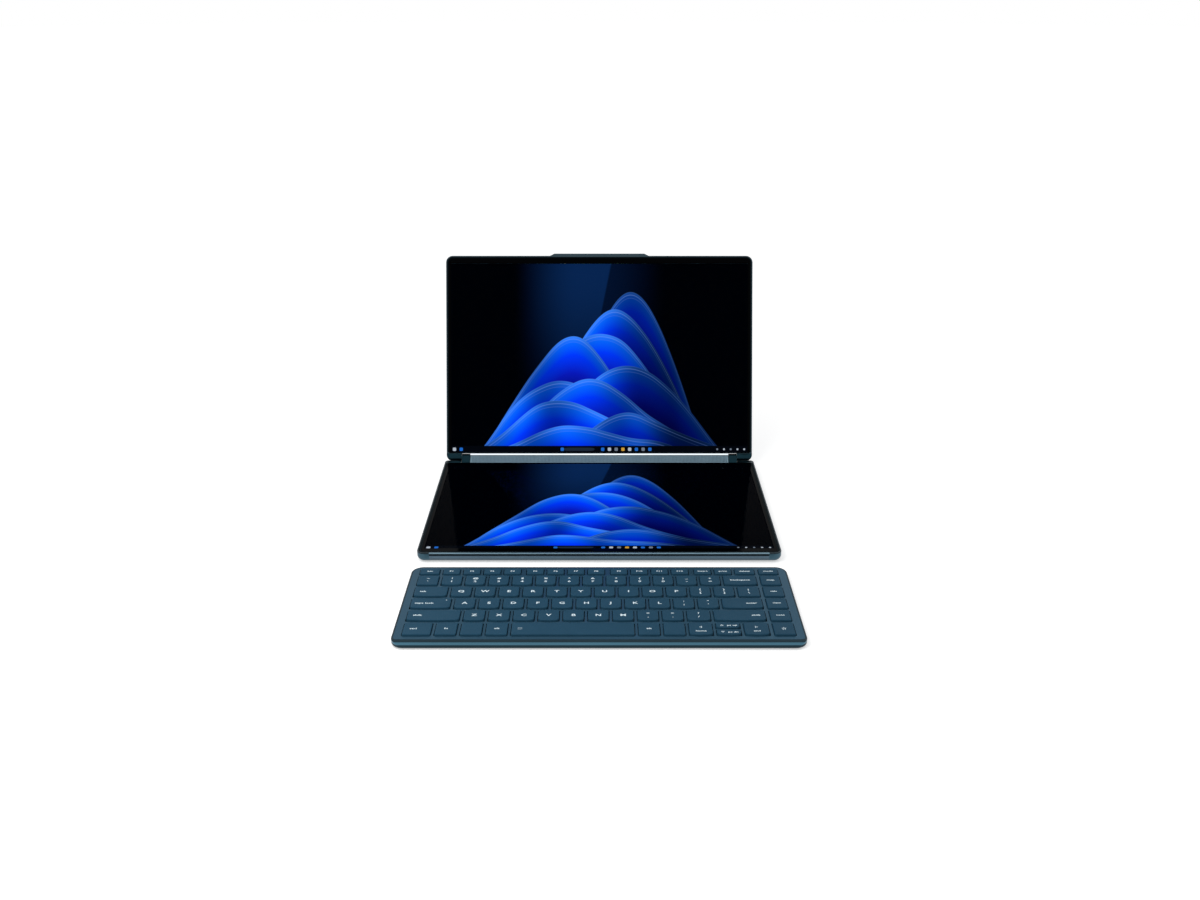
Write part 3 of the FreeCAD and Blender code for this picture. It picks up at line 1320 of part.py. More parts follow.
# The keyboard: its frame has its origin at the middle of its back edge, on the table
KEY_RUNS = {
    # sub-part: runs of keys, each (first left edge, width, count, pitch, row centre, depth, smiling)
    "keys_function_row": [
        ("-key_left", "escape_width", 1, "0", "function_row", "function_depth", False),
        ("-key_left + escape_width + key_gap", "function_width", 4, "function_pitch", "function_row",
         "function_depth", False),
        ("-key_left + escape_width + key_gap + function_group_pitch", "function_width", 4,
         "function_pitch", "function_row", "function_depth", False),
        ("-key_left + escape_width + key_gap + 2 * function_group_pitch", "function_width", 4,
         "function_pitch", "function_row", "function_depth", False),
        ("-key_left + escape_width + key_gap + 3 * function_group_pitch", "function_width", 2,
         "function_pitch", "function_row", "function_depth", False),
        ("key_right - escape_width", "escape_width", 1, "0", "function_row", "function_depth", False),
        ("column_left", "column_width", 1, "0", "function_row", "function_depth", False),
    ],
    "keys_number_row": [
        ("-key_left", "grave_width", 1, "0", "number_row", "key_depth", False),
        ("-key_left + grave_width + key_gap", "key_width", 12, "key_pitch", "number_row", "key_depth", True),
    ],
    "keys_upper_letters": [
        ("-key_left + tab_width + key_gap", "key_width", 12, "key_pitch", "number_row + row_pitch",
         "key_depth", True),
        ("-key_left + tab_width + key_gap + 12 * key_pitch",
         "key_right + key_left - tab_width - key_gap - 12 * key_pitch", 1, "0", "number_row + row_pitch",
         "key_depth", False),
    ],
    "keys_home_letters": [
        ("-key_left + caps_width + key_gap", "key_width", 11, "key_pitch", "number_row + 2 * row_pitch",
         "key_depth", True),
    ],
    "keys_lower_letters": [
        ("-key_left + shift_width + key_gap", "key_width", 9, "key_pitch", "number_row + 3 * row_pitch",
         "key_depth", True),
        ("-key_left + shift_width + key_gap + 9 * key_pitch", "slash_width", 1, "0",
         "number_row + 3 * row_pitch", "key_depth", True),
    ],
    "keys_modifiers": [
        ("-key_left", "control_key_width", 1, "0", "bottom_row", "bottom_depth", False),
        ("-key_left + control_key_width + key_gap", "key_width", 3, "key_pitch", "bottom_row",
         "bottom_depth", False),
        ("space_end + key_gap", "key_width", 2, "key_pitch", "bottom_row", "bottom_depth", False),
    ],
    "keys_side_column": [
        ("column_left", "column_width", 1, "0", "number_row", "key_depth", False),
        ("column_left", "column_width", 1, "0", "number_row + row_pitch", "key_depth", False),
        ("column_left", "column_width", 1, "0", "number_row + 2 * row_pitch", "key_depth", False),
        ("column_left", "column_width", 1, "0", "number_row + 3 * row_pitch", "key_depth", False),
        ("column_left", "column_width", 1, "0", "bottom_row", "bottom_depth", False),
    ],
    "keys_arrows": [
        ("space_end + key_gap + 2 * key_pitch", "arrow_width", 1, "0", "bottom_row", "bottom_depth", False),
        ("half_row_left", "half_row_width", 1, "0", "bottom_row - bottom_depth / 4 - arrow_split / 4",
         "bottom_depth / 2 - arrow_split / 2", False),
        ("half_row_left", "half_row_width", 1, "0", "bottom_row + bottom_depth / 4 + arrow_split / 4",
         "bottom_depth / 2 - arrow_split / 2", False),
        ("half_row_left + half_row_width + key_gap",
         "key_right - half_row_left - half_row_width - key_gap", 1, "0", "bottom_row", "bottom_depth", False),
    ],
    "key_space": [
        ("space_start", "space_end - space_start", 1, "0", "bottom_row", "bottom_depth", False),
    ],
    "key_backspace": [
        ("number_row_end", "key_right - number_row_end", 1, "0", "number_row", "key_depth", False),
    ],
    "key_tab": [
        ("-key_left", "tab_width", 1, "0", "number_row + row_pitch", "key_depth", False),
    ],
    "key_caps_lock": [
        ("-key_left", "caps_width", 1, "0", "number_row + 2 * row_pitch", "key_depth", False),
    ],
    "key_enter": [
        ("home_row_end", "key_right - home_row_end", 1, "0", "number_row + 2 * row_pitch", "key_depth", False),
    ],
    "key_shift_left": [
        ("-key_left", "shift_width", 1, "0", "number_row + 3 * row_pitch", "key_depth", False),
    ],
    "key_shift_right": [
        ("half_row_left", "key_right - half_row_left", 1, "0", "number_row + 3 * row_pitch", "key_depth",
         False),
    ],
}


def smiling_outline(left, right, front, back):
    """Draws a letter key: cut corners at the back, and a bowed front edge between wide corners."""

    def draw(sketch):
        middle = "((%s + %s) / 2)" % (left, right)
        bow_y = size("%s + smile_arc" % front)
        bow_end = "%s + smile_arc - sqrt(smile_arc ^ 2 - (%s - %s - smile_corner) ^ 2)" % (front, middle, left)
        corners = [
            ("%s - smile_corner" % right, bow_end),
            ("%s - smile_corner * smile_share" % right, "%s + smile_rise * smile_share" % front),
            (right, "%s + smile_rise" % front),
            (right, "%s - key_corner" % back),
            ("%s - key_corner" % right, back),
            ("%s + key_corner" % left, back),
            (left, "%s - key_corner" % back),
            (left, "%s + smile_rise" % front),
            ("%s + smile_corner * smile_share" % left, "%s + smile_rise * smile_share" % front),
            ("%s + smile_corner" % left, bow_end),
        ]
        points = [FreeCAD.Vector(size(x), size(y), 0) for x, y in corners]
        lines = [sketch.addGeometry(Part.LineSegment(a, b)) for a, b in zip(points, points[1:])]
        centre = FreeCAD.Vector(size(middle), bow_y, 0)
        swing = math.asin((points[0].x - centre.x) / size("smile_arc"))
        circle = Part.Circle(centre, FreeCAD.Vector(0, 0, 1), size("smile_arc"))
        bow = sketch.addGeometry(Part.ArcOfCircle(circle, 1.5 * math.pi - swing, 1.5 * math.pi + swing))
        for before, after in zip(lines, lines[1:]):
            sketch.addConstraint(Sketcher.Constraint("Coincident", before, 2, after, 1))
        sketch.addConstraint(Sketcher.Constraint("Coincident", lines[-1], 2, bow, 1))
        sketch.addConstraint(Sketcher.Constraint("Coincident", bow, 2, lines[0], 1))
        for line, (x, y) in zip(lines, corners):
            fix(sketch, "DistanceX", -1, 1, line, 1, x)
            fix(sketch, "DistanceY", -1, 1, line, 1, y)
        fix(sketch, "DistanceX", -1, 1, lines[-1], 2, corners[-1][0])
        fix(sketch, "DistanceY", -1, 1, lines[-1], 2, corners[-1][1])
        fix(sketch, "Radius", bow, "smile_arc")

    return draw


def run_sides(run):
    """Formulas for the sides of a run's first key: left, right, front and back."""
    left, width, count, pitch, centre, depth, smiling = run
    return (
        "(%s)" % left,
        "(%s + %s)" % (left, width),
        "(-(%s) - (%s) / 2)" % (centre, depth),
        "(-(%s) + (%s) / 2)" % (centre, depth),
    )


def make_keys():
    """All keycaps, tapered to their tops, as one sub-part for each row or special key."""
    for name, runs in KEY_RUNS.items():
        body = sub_part(name, "keyboard")
        for number, run in enumerate(runs, start=1):
            sides = run_sides(run)
            outline = smiling_outline(*sides) if run[6] else facet_block(*sides, "key_corner")
            cap = add(body, "%s_cap_%d" % (name, number), "XY", "key_under", outline, "key_height", 1, "key_taper")
            if run[2] > 1:
                repeat(body, cap, "H_Axis", run[2], run[3])


def make_deck():
    """The keyboard's top plate, with a well for each key."""
    plate = new_body("deck_plate")
    inner = "kb_half - kb_wall - deck_gap"
    outline = block(
        "-(%s)" % inner, inner, "-(kb_depth - kb_lip) + deck_gap", "-kb_wall - deck_gap",
        "deck_front_round", "kb_corner - kb_wall - deck_gap",
    )
    add(plate, "plate", "XY", "deck_under", outline, "deck_plate", 1)
    wells = []
    for name, runs in KEY_RUNS.items():
        row = new_body(name + "_wells")
        wells.append(row)
        for number, run in enumerate(runs, start=1):
            left, right, front, back = run_sides(run)
            outline = facet_block(
                "%s - well_gap" % left, "%s + well_gap" % right,
                "%s - well_gap" % front, "%s + well_gap" % back, "well_corner",
            )
            well = add(row, "%s_well_%d" % (name, number), "XY", "deck_under - 1", outline, "deck_plate + 2")
            if run[2] > 1:
                repeat(row, well, "H_Axis", run[2], run[3])
    all_wells = doc.addObject("Part::Compound", "deck_wells")
    all_wells.Links = wells
    # room under the plate for the socket in the left side
    relief = block(
        "-kb_half", "-kb_half + kb_wall + kb_port_depth + deck_gap",
        "-kb_port_place - port_width / 2 - deck_gap", "-kb_port_place + port_width / 2 + deck_gap",
    )
    cut(plate, "socket_relief", "XY", "deck_under", relief, "kb_port_level + port_height / 2 + glue - deck_under", 1)
    deck = doc.addObject("Part::Cut", "keyboard_deck")
    deck.Label = "keyboard_deck"
    deck.Base = plate
    deck.Tool = all_wells
    place(deck, "keyboard")
    sub_parts.append(deck)


def make_keyboard_case():
    """The keyboard's bottom case, with its rounded front lip and the ribs round the battery."""
    body = sub_part("keyboard_case", "keyboard")
    outline = block("-kb_half", "kb_half", "-kb_depth", "0", "kb_corner")
    slab = add(body, "case_slab", "XY", "kb_foot", outline, "kb_thick", 1)
    doc.recompute()
    under = size("kb_foot")
    rounded = dress(
        body, "Fillet", "case_round_sides", slab,
        names_where(slab.Shape.Edges, "Edge", lambda box: abs(box.ZMax - under) < NEAR),
        "Radius", "kb_under_round",
    )
    doc.recompute()
    top = size("kb_top")
    dress(
        body, "Chamfer", "case_rim_chamfer", rounded,
        names_where(rounded.Shape.Edges, "Edge", lambda box: abs(box.ZMin - top) < NEAR),
        "Size", "edge_chamfer",
    )
    # the front lip falls away from the deck in three facets
    seam_y = "-(kb_depth - kb_lip)"
    lip = polygon(
        [
            (seam_y, "kb_top"),
            ("%s - kb_lip * 0.45" % seam_y, "kb_top - kb_lip_drop * 0.16"),
            ("%s - kb_lip * 0.8" % seam_y, "kb_top - kb_lip_drop * 0.5"),
            ("%s - kb_lip" % seam_y, "kb_top - kb_lip_drop"),
            ("%s - kb_lip - kb_lip_crown" % seam_y, "kb_top - kb_lip_drop"),
            ("%s - kb_lip - kb_lip_crown" % seam_y, "kb_top + kb_lip_crown"),
            (seam_y, "kb_top + kb_lip_crown"),
        ]
    )
    cut(body, "front_lip", "YZ", "-kb_half - 1", lip, "2 * kb_half + 2", 1)
    inner = "kb_half - kb_wall"
    inside = block(
        "-(%s)" % inner, inner, seam_y, "-kb_wall", "deck_front_round + deck_gap", "kb_corner - kb_wall",
    )
    cut(body, "case_inside", "XY", "kb_top", inside, "kb_thick - kb_floor", -1)
    # ribs beside the battery carry the membrane
    battery_back = "-(kb_depth - kb_battery_front - kb_battery_depth)"
    battery_front = "-(kb_depth - kb_battery_front)"
    for name, y in (
        ("front_rib", "%s - rib_gap - rib_width" % battery_front),
        ("middle_rib", "%s + rib_gap" % battery_back),
        ("back_rib", "-kb_wall - 2 * rib_gap - rib_width"),
    ):
        rib = block("-kb_half + kb_corner + kb_wall", "kb_half - kb_corner - kb_wall", y, "%s + rib_width" % y)
        add(body, name, "XY", "kb_floor_top - kb_floor / 2", rib, "kb_battery_thick + kb_floor / 2", 1)
    port = facet_block(
        "-kb_port_place - port_width / 2 - port_fit", "-kb_port_place + port_width / 2 + port_fit",
        "kb_port_level - port_height / 2 - port_fit", "kb_port_level + port_height / 2 + port_fit",
        "port_height / 2", 3,
    )
    cut(body, "case_port", "YZ", "-kb_half + kb_wall + 0.5", port, "kb_wall + 1", -1)
    switch = block(
        "-kb_switch_place - kb_switch_length / 2 - kb_switch_travel - control_fit",
        "-kb_switch_place + kb_switch_length / 2 + control_fit",
        "kb_port_level - kb_switch_height / 2 - control_fit", "kb_port_level + kb_switch_height / 2 + control_fit",
    )
    cut(body, "case_switch_slot", "YZ", "kb_half - kb_wall - 0.5", switch, "kb_wall + 1", 1)
    return body


def make_keyboard_inside():
    """Membrane, battery, socket, switch and feet of the keyboard."""
    membrane = sub_part("keyboard_membrane", "keyboard")
    sheet_outline = block(
        "-key_left", "key_left", "-(kb_depth - kb_lip - membrane_gap)", "-kb_wall - membrane_gap",
    )
    add(membrane, "membrane_sheet", "XY", "membrane_under", sheet_outline, "membrane_thick", 1)
    battery = sub_part("keyboard_battery", "keyboard")
    cell = block(
        "-kb_battery_width / 2", "kb_battery_width / 2",
        "-(kb_depth - kb_battery_front)", "-(kb_depth - kb_battery_front - kb_battery_depth)",
    )
    add(battery, "keyboard_cell", "XY", "kb_floor_top", cell, "kb_battery_thick", 1)
    socket = sub_part("keyboard_usb_c_socket", "keyboard")
    socket_solid(
        socket, "charge", "-(kb_half - kb_wall - port_fit)", -1, "-kb_port_place", "kb_port_level",
        "kb_port_depth",
    )
    switch = sub_part("keyboard_switch", "keyboard")
    knob = block(
        "-kb_switch_place - kb_switch_length / 2", "-kb_switch_place + kb_switch_length / 2",
        "kb_port_level - kb_switch_height / 2", "kb_port_level + kb_switch_height / 2",
    )
    plate = block(
        "-kb_switch_place - kb_switch_length / 2 - control_flange",
        "-kb_switch_place + kb_switch_length / 2 + control_flange",
        "kb_port_level - kb_switch_height / 2 - control_flange / 2",
        "kb_port_level + kb_switch_height / 2 + control_flange / 2",
    )
    inside = "kb_half - kb_wall - control_fit"
    add(switch, "switch_plate", "YZ", "%s - control_depth" % inside, plate, "control_depth", 1)
    add(switch, "switch_knob", "YZ", inside, knob, "kb_wall + control_fit + kb_switch_proud", 1)
    feet = sub_part("keyboard_feet", "keyboard")
    pads = []
    for name, y in (("front", "-(kb_depth - kb_foot_inset)"), ("back", "-kb_foot_inset")):
        foot = facet_block(
            "kb_half - kb_foot_inset - kb_foot_radius", "kb_half - kb_foot_inset + kb_foot_radius",
            "%s - kb_foot_radius" % y, "%s + kb_foot_radius" % y, "kb_foot_radius - glue", 5,
        )
        pads.append(add(feet, name + "_keyboard_foot", "XY", "kb_foot", foot, "kb_foot", -1))
    mirror(feet, pads)


# Each sub-part is worked out as soon as it is drawn
for screen_half in (BASE, LID):
    for make in (make_tray, make_frame, make_glass, make_panel, make_shafts):
        make(screen_half)
        doc.recompute()
    for end in (-1, 1):
        make_knuckle(screen_half, end)
        doc.recompute()
for end in (-1, 1):
    make_bearing(end)
    doc.recompute()
for make in (
    make_gear_train, make_bar_housing, make_bar_trim, make_grille, make_speakers,
    make_base_details, make_main_board, make_drive, make_battery, make_fan, make_heat_sink,
    make_ports, make_controls, make_base_feet, make_base_screws, make_camera, make_timing_board,
    make_keyboard_case, make_keyboard_inside, make_deck, make_keys,
):
    make()
    doc.recompute()

# Nothing is written unless every object came out sound
broken = [thing.Label for thing in doc.Objects if "Invalid" in thing.State or "Error" in thing.State]
if broken:
    raise ValueError("failed objects: " + ", ".join(broken))
for before, after in cuts:
    if after.Shape.Volume >= before.Shape.Volume:
        raise ValueError("cuts nothing: " + after.Label)
for part in sub_parts:
    if part.Shape.isNull() or not part.Shape.isValid() or not part.Shape.Solids:
        raise ValueError("no sound solid: " + part.Label)

os.makedirs("parts", exist_ok=True)
for part in sub_parts:
    part.Shape.exportStep(os.path.join("parts", part.Label + ".step"))
print(len(sub_parts), "sub-parts,", sum(len(part.Shape.Solids) for part in sub_parts), "solids")
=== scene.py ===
import json
import math

import bmesh
import bpy
from mathutils import Matrix, Vector


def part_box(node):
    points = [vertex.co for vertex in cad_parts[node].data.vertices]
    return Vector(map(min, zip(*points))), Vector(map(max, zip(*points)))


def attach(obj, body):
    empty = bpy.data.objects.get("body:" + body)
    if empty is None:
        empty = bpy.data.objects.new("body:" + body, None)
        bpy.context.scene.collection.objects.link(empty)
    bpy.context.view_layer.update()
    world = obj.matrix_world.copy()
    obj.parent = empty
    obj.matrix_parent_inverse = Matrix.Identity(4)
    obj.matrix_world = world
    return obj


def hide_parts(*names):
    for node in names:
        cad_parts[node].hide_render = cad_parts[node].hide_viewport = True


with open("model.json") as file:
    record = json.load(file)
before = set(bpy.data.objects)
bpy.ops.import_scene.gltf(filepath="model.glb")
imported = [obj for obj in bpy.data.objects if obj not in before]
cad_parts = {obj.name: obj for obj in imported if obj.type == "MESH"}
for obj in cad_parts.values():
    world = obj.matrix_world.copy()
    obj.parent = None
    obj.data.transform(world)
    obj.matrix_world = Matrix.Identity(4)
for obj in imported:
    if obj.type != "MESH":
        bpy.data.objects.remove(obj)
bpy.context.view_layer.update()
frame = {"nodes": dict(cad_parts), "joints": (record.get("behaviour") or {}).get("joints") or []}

# A dual-screen laptop with a detached keyboard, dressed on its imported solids.
# World frame: X to the right, Y away from the user, Z up, table at Z = 0, metres.
MM = 0.001
nodes = frame["nodes"]
joints = {joint["name"]: joint for joint in frame["joints"]}


# Where the bar and the lid stand
lower_axis = Vector(joints["bar_hinge"]["pos_m"])
upper_axis = Vector(joints["lid_hinge"]["pos_m"])
up_bar = (upper_axis - lower_axis).normalized()
half_open = math.atan2(up_bar.y, up_bar.z)
lid_tilt = 2 * half_open - math.pi / 2
out_of_grille = Vector((0, -up_bar.z, up_bar.y))


# Materials: what each surface is made of
def linear(code):
    """The linear colour of an sRGB hex code such as 2f4b5d."""
    shares = [int(code[start:start + 2], 16) / 255 for start in (0, 2, 4)]
    return [share / 12.92 if share <= 0.04045 else ((share + 0.055) / 1.055) ** 2.4 for share in shares] + [1.0]


def add_node(tree, kind, inputs=None, **settings):
    """Adds a node with its own settings, and gives each input a value or the output that feeds it."""
    made = tree.nodes.new(kind)
    for name, value in settings.items():
        setattr(made, name, value)
    for name, value in (inputs or {}).items():
        if isinstance(value, bpy.types.NodeSocket):
            tree.links.new(value, made.inputs[name])
        else:
            made.inputs[name].default_value = value
    return made


def new_material(name, **shader_inputs):
    """A material with one main shader; inputs are named with underscores for their spaces."""
    material = bpy.data.materials.new(name)
    material.use_nodes = True
    tree = material.node_tree
    tree.nodes.clear()
    shader = add_node(tree, "ShaderNodeBsdfPrincipled")
    for key, value in shader_inputs.items():
        shader.inputs[key.replace("_", " ")].default_value = value
    add_node(tree, "ShaderNodeOutputMaterial", {"Surface": shader.outputs["BSDF"]})
    rest_place = add_node(tree, "ShaderNodeTexCoord").outputs["Object"]
    return material, tree, shader, rest_place


def wear_and_grain(tree, shader, place, low, high, patch, grain, depth, roughness):
    """Uneven colour between two tones in soft patches, and a fine grain in relief and in gloss.

    Patch and grain are sizes in metres, depth is the grain's height in metres."""
    patches = add_node(tree, "ShaderNodeTexNoise", {"Vector": place, "Scale": 1 / patch, "Detail": 3.0})
    tones = add_node(tree, "ShaderNodeMix", {
        "Factor": patches.outputs["Fac"], "A": linear(low), "B": linear(high),
    }, data_type="RGBA")
    tree.links.new(tones.outputs["Result"], shader.inputs["Base Color"])
    grains = add_node(tree, "ShaderNodeTexNoise", {"Vector": place, "Scale": 1 / grain, "Detail": 2.0})
    gloss = add_node(tree, "ShaderNodeMapRange", {
        "Value": grains.outputs["Fac"], "From Min": 0.3, "From Max": 0.7,
        "To Min": roughness - 0.05, "To Max": roughness + 0.05,
    })
    tree.links.new(gloss.outputs["Result"], shader.inputs["Roughness"])
    relief = add_node(tree, "ShaderNodeBump", {
        "Height": grains.outputs["Fac"], "Strength": 0.6, "Distance": depth,
    })
    tree.links.new(relief.outputs["Normal"], shader.inputs["Normal"])
    return tones


def grained(name, low, high, patch, grain, depth, roughness, **shader_inputs):
    """A material of soft uneven tone and fine grain."""
    material, tree, shader, place = new_material(name, **shader_inputs)
    wear_and_grain(tree, shader, place, low, high, patch * MM, grain * MM, depth * MM, roughness)
    return material


# Anodised aluminium, bead-blasted: deep teal, a soft satin sheen with a fine glitter of grain
teal_aluminium = grained(
    "teal_anodised_aluminium", "35525f", "3f5e6c", 60, 0.35, 0.02, 0.38, Metallic=1.0,
)
# The same aluminium, anodised darker for the hinge blocks: near black with teal in the highlights
dark_aluminium = grained(
    "dark_anodised_aluminium", "12272f", "1b343d", 20, 0.3, 0.015, 0.34, Metallic=1.0,
)
# Anodised keyboard deck between the keys: a darker teal than the covers, darkened as painted shade for the gaps
# between the keys, and darker still where the keys shade it
deck_aluminium = grained(
    "teal_anodised_deck", "234a5f", "2b536a", 50, 0.35, 0.02, 0.42, Metallic=0.9,
)
# Painted perforated steel: cool grey-blue satin
grille_steel = grained(
    "painted_grille_steel", "6a8696", "7e9aaa", 15, 0.25, 0.01, 0.4, Metallic=0.5,
)
# Bright-dipped aluminium strip: a white line, with emission as a painted reflection of the bright studio it mirrors
strip_aluminium_painted_glow = grained(
    "bright_dipped_aluminium_painted_glow", "e6ecf2", "f8fbff", 30, 0.6, 0.002, 0.3, Metallic=0.2,
    Emission_Color=linear("e8f2fa"), Emission_Strength=1.0,
)
# Glass-filled nylon frame round the glass: black with a green cast, softly matt
frame_nylon = grained(
    "moulded_nylon_frame", "0a1215", "111b1f", 12, 0.25, 0.01, 0.55, Specular_IOR_Level=0.02,
)
# Ground steel of shafts and gears: bright grey with fine lathe marks
ground_steel = grained(
    "ground_steel", "8d9196", "a9adb2", 2, 0.12, 0.004, 0.28, Metallic=1.0,
)
# Nickel-plated pressed steel of the sockets
nickel_steel = grained(
    "nickel_plated_steel", "9da0a3", "b7babd", 3, 0.2, 0.004, 0.3, Metallic=1.0,
)
# Blackened steel screws
black_steel = grained(
    "blackened_steel", "15191c", "23292d", 1.5, 0.15, 0.006, 0.4, Metallic=1.0,
)
# ABS speaker boxes and fan, moulded matt black with a spark-eroded grain
black_abs = grained(
    "moulded_black_abs", "101112", "191b1c", 8, 0.3, 0.02, 0.55, Specular_IOR_Level=0.4,
)
# Silicone rubber feet: dull dark grey
foot_rubber = grained(
    "silicone_rubber", "14191c", "1e2427", 6, 0.5, 0.02, 0.75, Specular_IOR_Level=0.3,
)
# Polyester film under the keys: dark, slightly glossy
film_polyester = grained(
    "polyester_film", "0c0f11", "151a1d", 25, 1.2, 0.01, 0.35, Specular_IOR_Level=0.4,
)
# ABS keycaps with a soft-touch coating: matt blue-grey that takes no sharp reflection
key_abs = grained(
    "soft_touch_abs_keys", "20455b", "284f66", 14, 0.22, 0.012, 0.6, Specular_IOR_Level=0.12,
)


def copper_plate():
    """Bare copper with tarnish: warm metal, browner in patches."""
    material, tree, shader, place = new_material("tarnished_copper", Metallic=1.0)
    wear_and_grain(tree, shader, place, "7c4a35", "c98a66", 7 * MM, 0.2 * MM, 0.004 * MM, 0.32)
    return material


def foil_sleeve():
    """Laminated aluminium foil pouch: black with soft wrinkles that catch the light."""
    material, tree, shader, place = new_material("laminated_foil_pouch", Metallic=0.4)
    wear_and_grain(tree, shader, place, "17191d", "24272c", 18 * MM, 2.5 * MM, 0.12 * MM, 0.36)
    return material


def circuit_laminate():
    """Glass-epoxy board under solder mask: dark green, with copper tracks and tinned pads in fine steps."""
    material, tree, shader, place = new_material("solder_masked_laminate", Roughness=0.35, Specular_IOR_Level=0.45)
    # tracks 0.5 mm wide at a 1.6 mm pitch, drawn coarser than the real ones so that they show
    tracks = add_node(tree, "ShaderNodeTexBrick", {
        "Vector": place, "Scale": 1 / (3.2 * MM), "Mortar Size": 0.06, "Brick Width": 1.0, "Row Height": 0.5,
        "Color1": linear("0d3a26"), "Color2": linear("0f4a30"), "Mortar": linear("2c7a52"),
    })
    dots = add_node(tree, "ShaderNodeTexVoronoi", {"Vector": place, "Scale": 1 / (2.4 * MM)})
    pads = add_node(tree, "ShaderNodeMath", {0: dots.outputs["Distance"], 1: 0.16}, operation="LESS_THAN")
    face = add_node(tree, "ShaderNodeMix", {
        "Factor": pads.outputs[0], "A": tracks.outputs["Color"], "B": linear("b9b6a4"),
    }, data_type="RGBA")
    tree.links.new(face.outputs["Result"], shader.inputs["Base Color"])
    tree.links.new(pads.outputs[0], shader.inputs["Metallic"])
    relief = add_node(tree, "ShaderNodeBump", {
        "Height": tracks.outputs["Fac"], "Strength": 0.5, "Distance": 0.03 * MM,
    })
    tree.links.new(relief.outputs["Normal"], shader.inputs["Normal"])
    return material


def legend_ink():
    """Screen-printed ink of the key legends, lit from below a little: pale blue-grey."""
    material, tree, shader, place = new_material("screen_printed_ink", Roughness=0.5, Specular_IOR_Level=0.2)
    speckle = add_node(tree, "ShaderNodeTexNoise", {"Vector": place, "Scale": 1 / (0.4 * MM), "Detail": 2.0})
    tones = add_node(tree, "ShaderNodeMix", {
        "Factor": speckle.outputs["Fac"], "A": linear("c6d9e1"), "B": linear("e0edf2"),
    }, data_type="RGBA")
    tree.links.new(tones.outputs["Result"], shader.inputs["Base Color"])
    tree.links.new(tones.outputs["Result"], shader.inputs["Emission Color"])
    shader.inputs["Emission Strength"].default_value = 0.3
    return material


# The screens: places on them, the picture's light, and the glass
def panel_place(tree, place, panel, tilt):
    """Place in a panel's own frame, in metres from the middle of its lower edge: across, up and out of it."""
    low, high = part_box(panel)
    start = (0, low[1], low[2] if tilt else high[2])
    lay = add_node(tree, "ShaderNodeMapping", {
        "Vector": place, "Location": start, "Rotation": (tilt, 0, 0),
    }, vector_type="TEXTURE")
    split = add_node(tree, "ShaderNodeSeparateXYZ", {"Vector": lay.outputs["Vector"]})
    return split.outputs["X"], split.outputs["Y"], split.outputs["Z"]


def reckon(tree, operation, *terms):
    """The result of a sum on values or outputs."""
    return add_node(tree, "ShaderNodeMath", dict(enumerate(terms)), operation=operation).outputs[0]


def screen_place(tree, place, panel, tilt):
    """Position on a screen: across from -0.5 to 0.5, and up from 0 to 1, as two outputs."""
    low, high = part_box(panel)
    reach = math.hypot(high[1] - low[1], high[2] - low[2]) if tilt else high[1] - low[1]
    across, up, _ = panel_place(tree, place, panel, tilt)
    return reckon(tree, "DIVIDE", across, high[0] - low[0]), reckon(tree, "DIVIDE", up, reach)


# Waves of light from the back one to the front one:
# crest height, place of the crest, half width, swing, waves across, start, lean
WAVES = (
    (0.82, 0.10, 0.26, 0.030, 9.0, 0.4, 0.30),
    (0.76, 0.06, 0.30, 0.035, 8.5, 2.1, 0.10),
    (0.67, -0.02, 0.33, 0.045, 9.5, 4.0, 0.35),
    (0.58, -0.10, 0.30, 0.050, 11.0, 0.9, -0.10),
    (0.50, 0.12, 0.30, 0.045, 10.0, 2.9, -0.45),
    (0.42, -0.14, 0.27, 0.040, 12.5, 5.2, 0.20),
    (0.35, 0.02, 0.36, 0.045, 11.5, 1.4, -0.30),
    (0.27, -0.12, 0.32, 0.040, 13.0, 3.3, 0.25),
    (0.19, 0.16, 0.30, 0.035, 12.0, 0.2, -0.20),
    (0.13, -0.05, 0.36, 0.030, 14.0, 2.4, 0.05),
)
# Strip of tiles along a screen's lower edge: its height and the tiles to the screen's width
STRIP = 0.036
TILES = 44.0


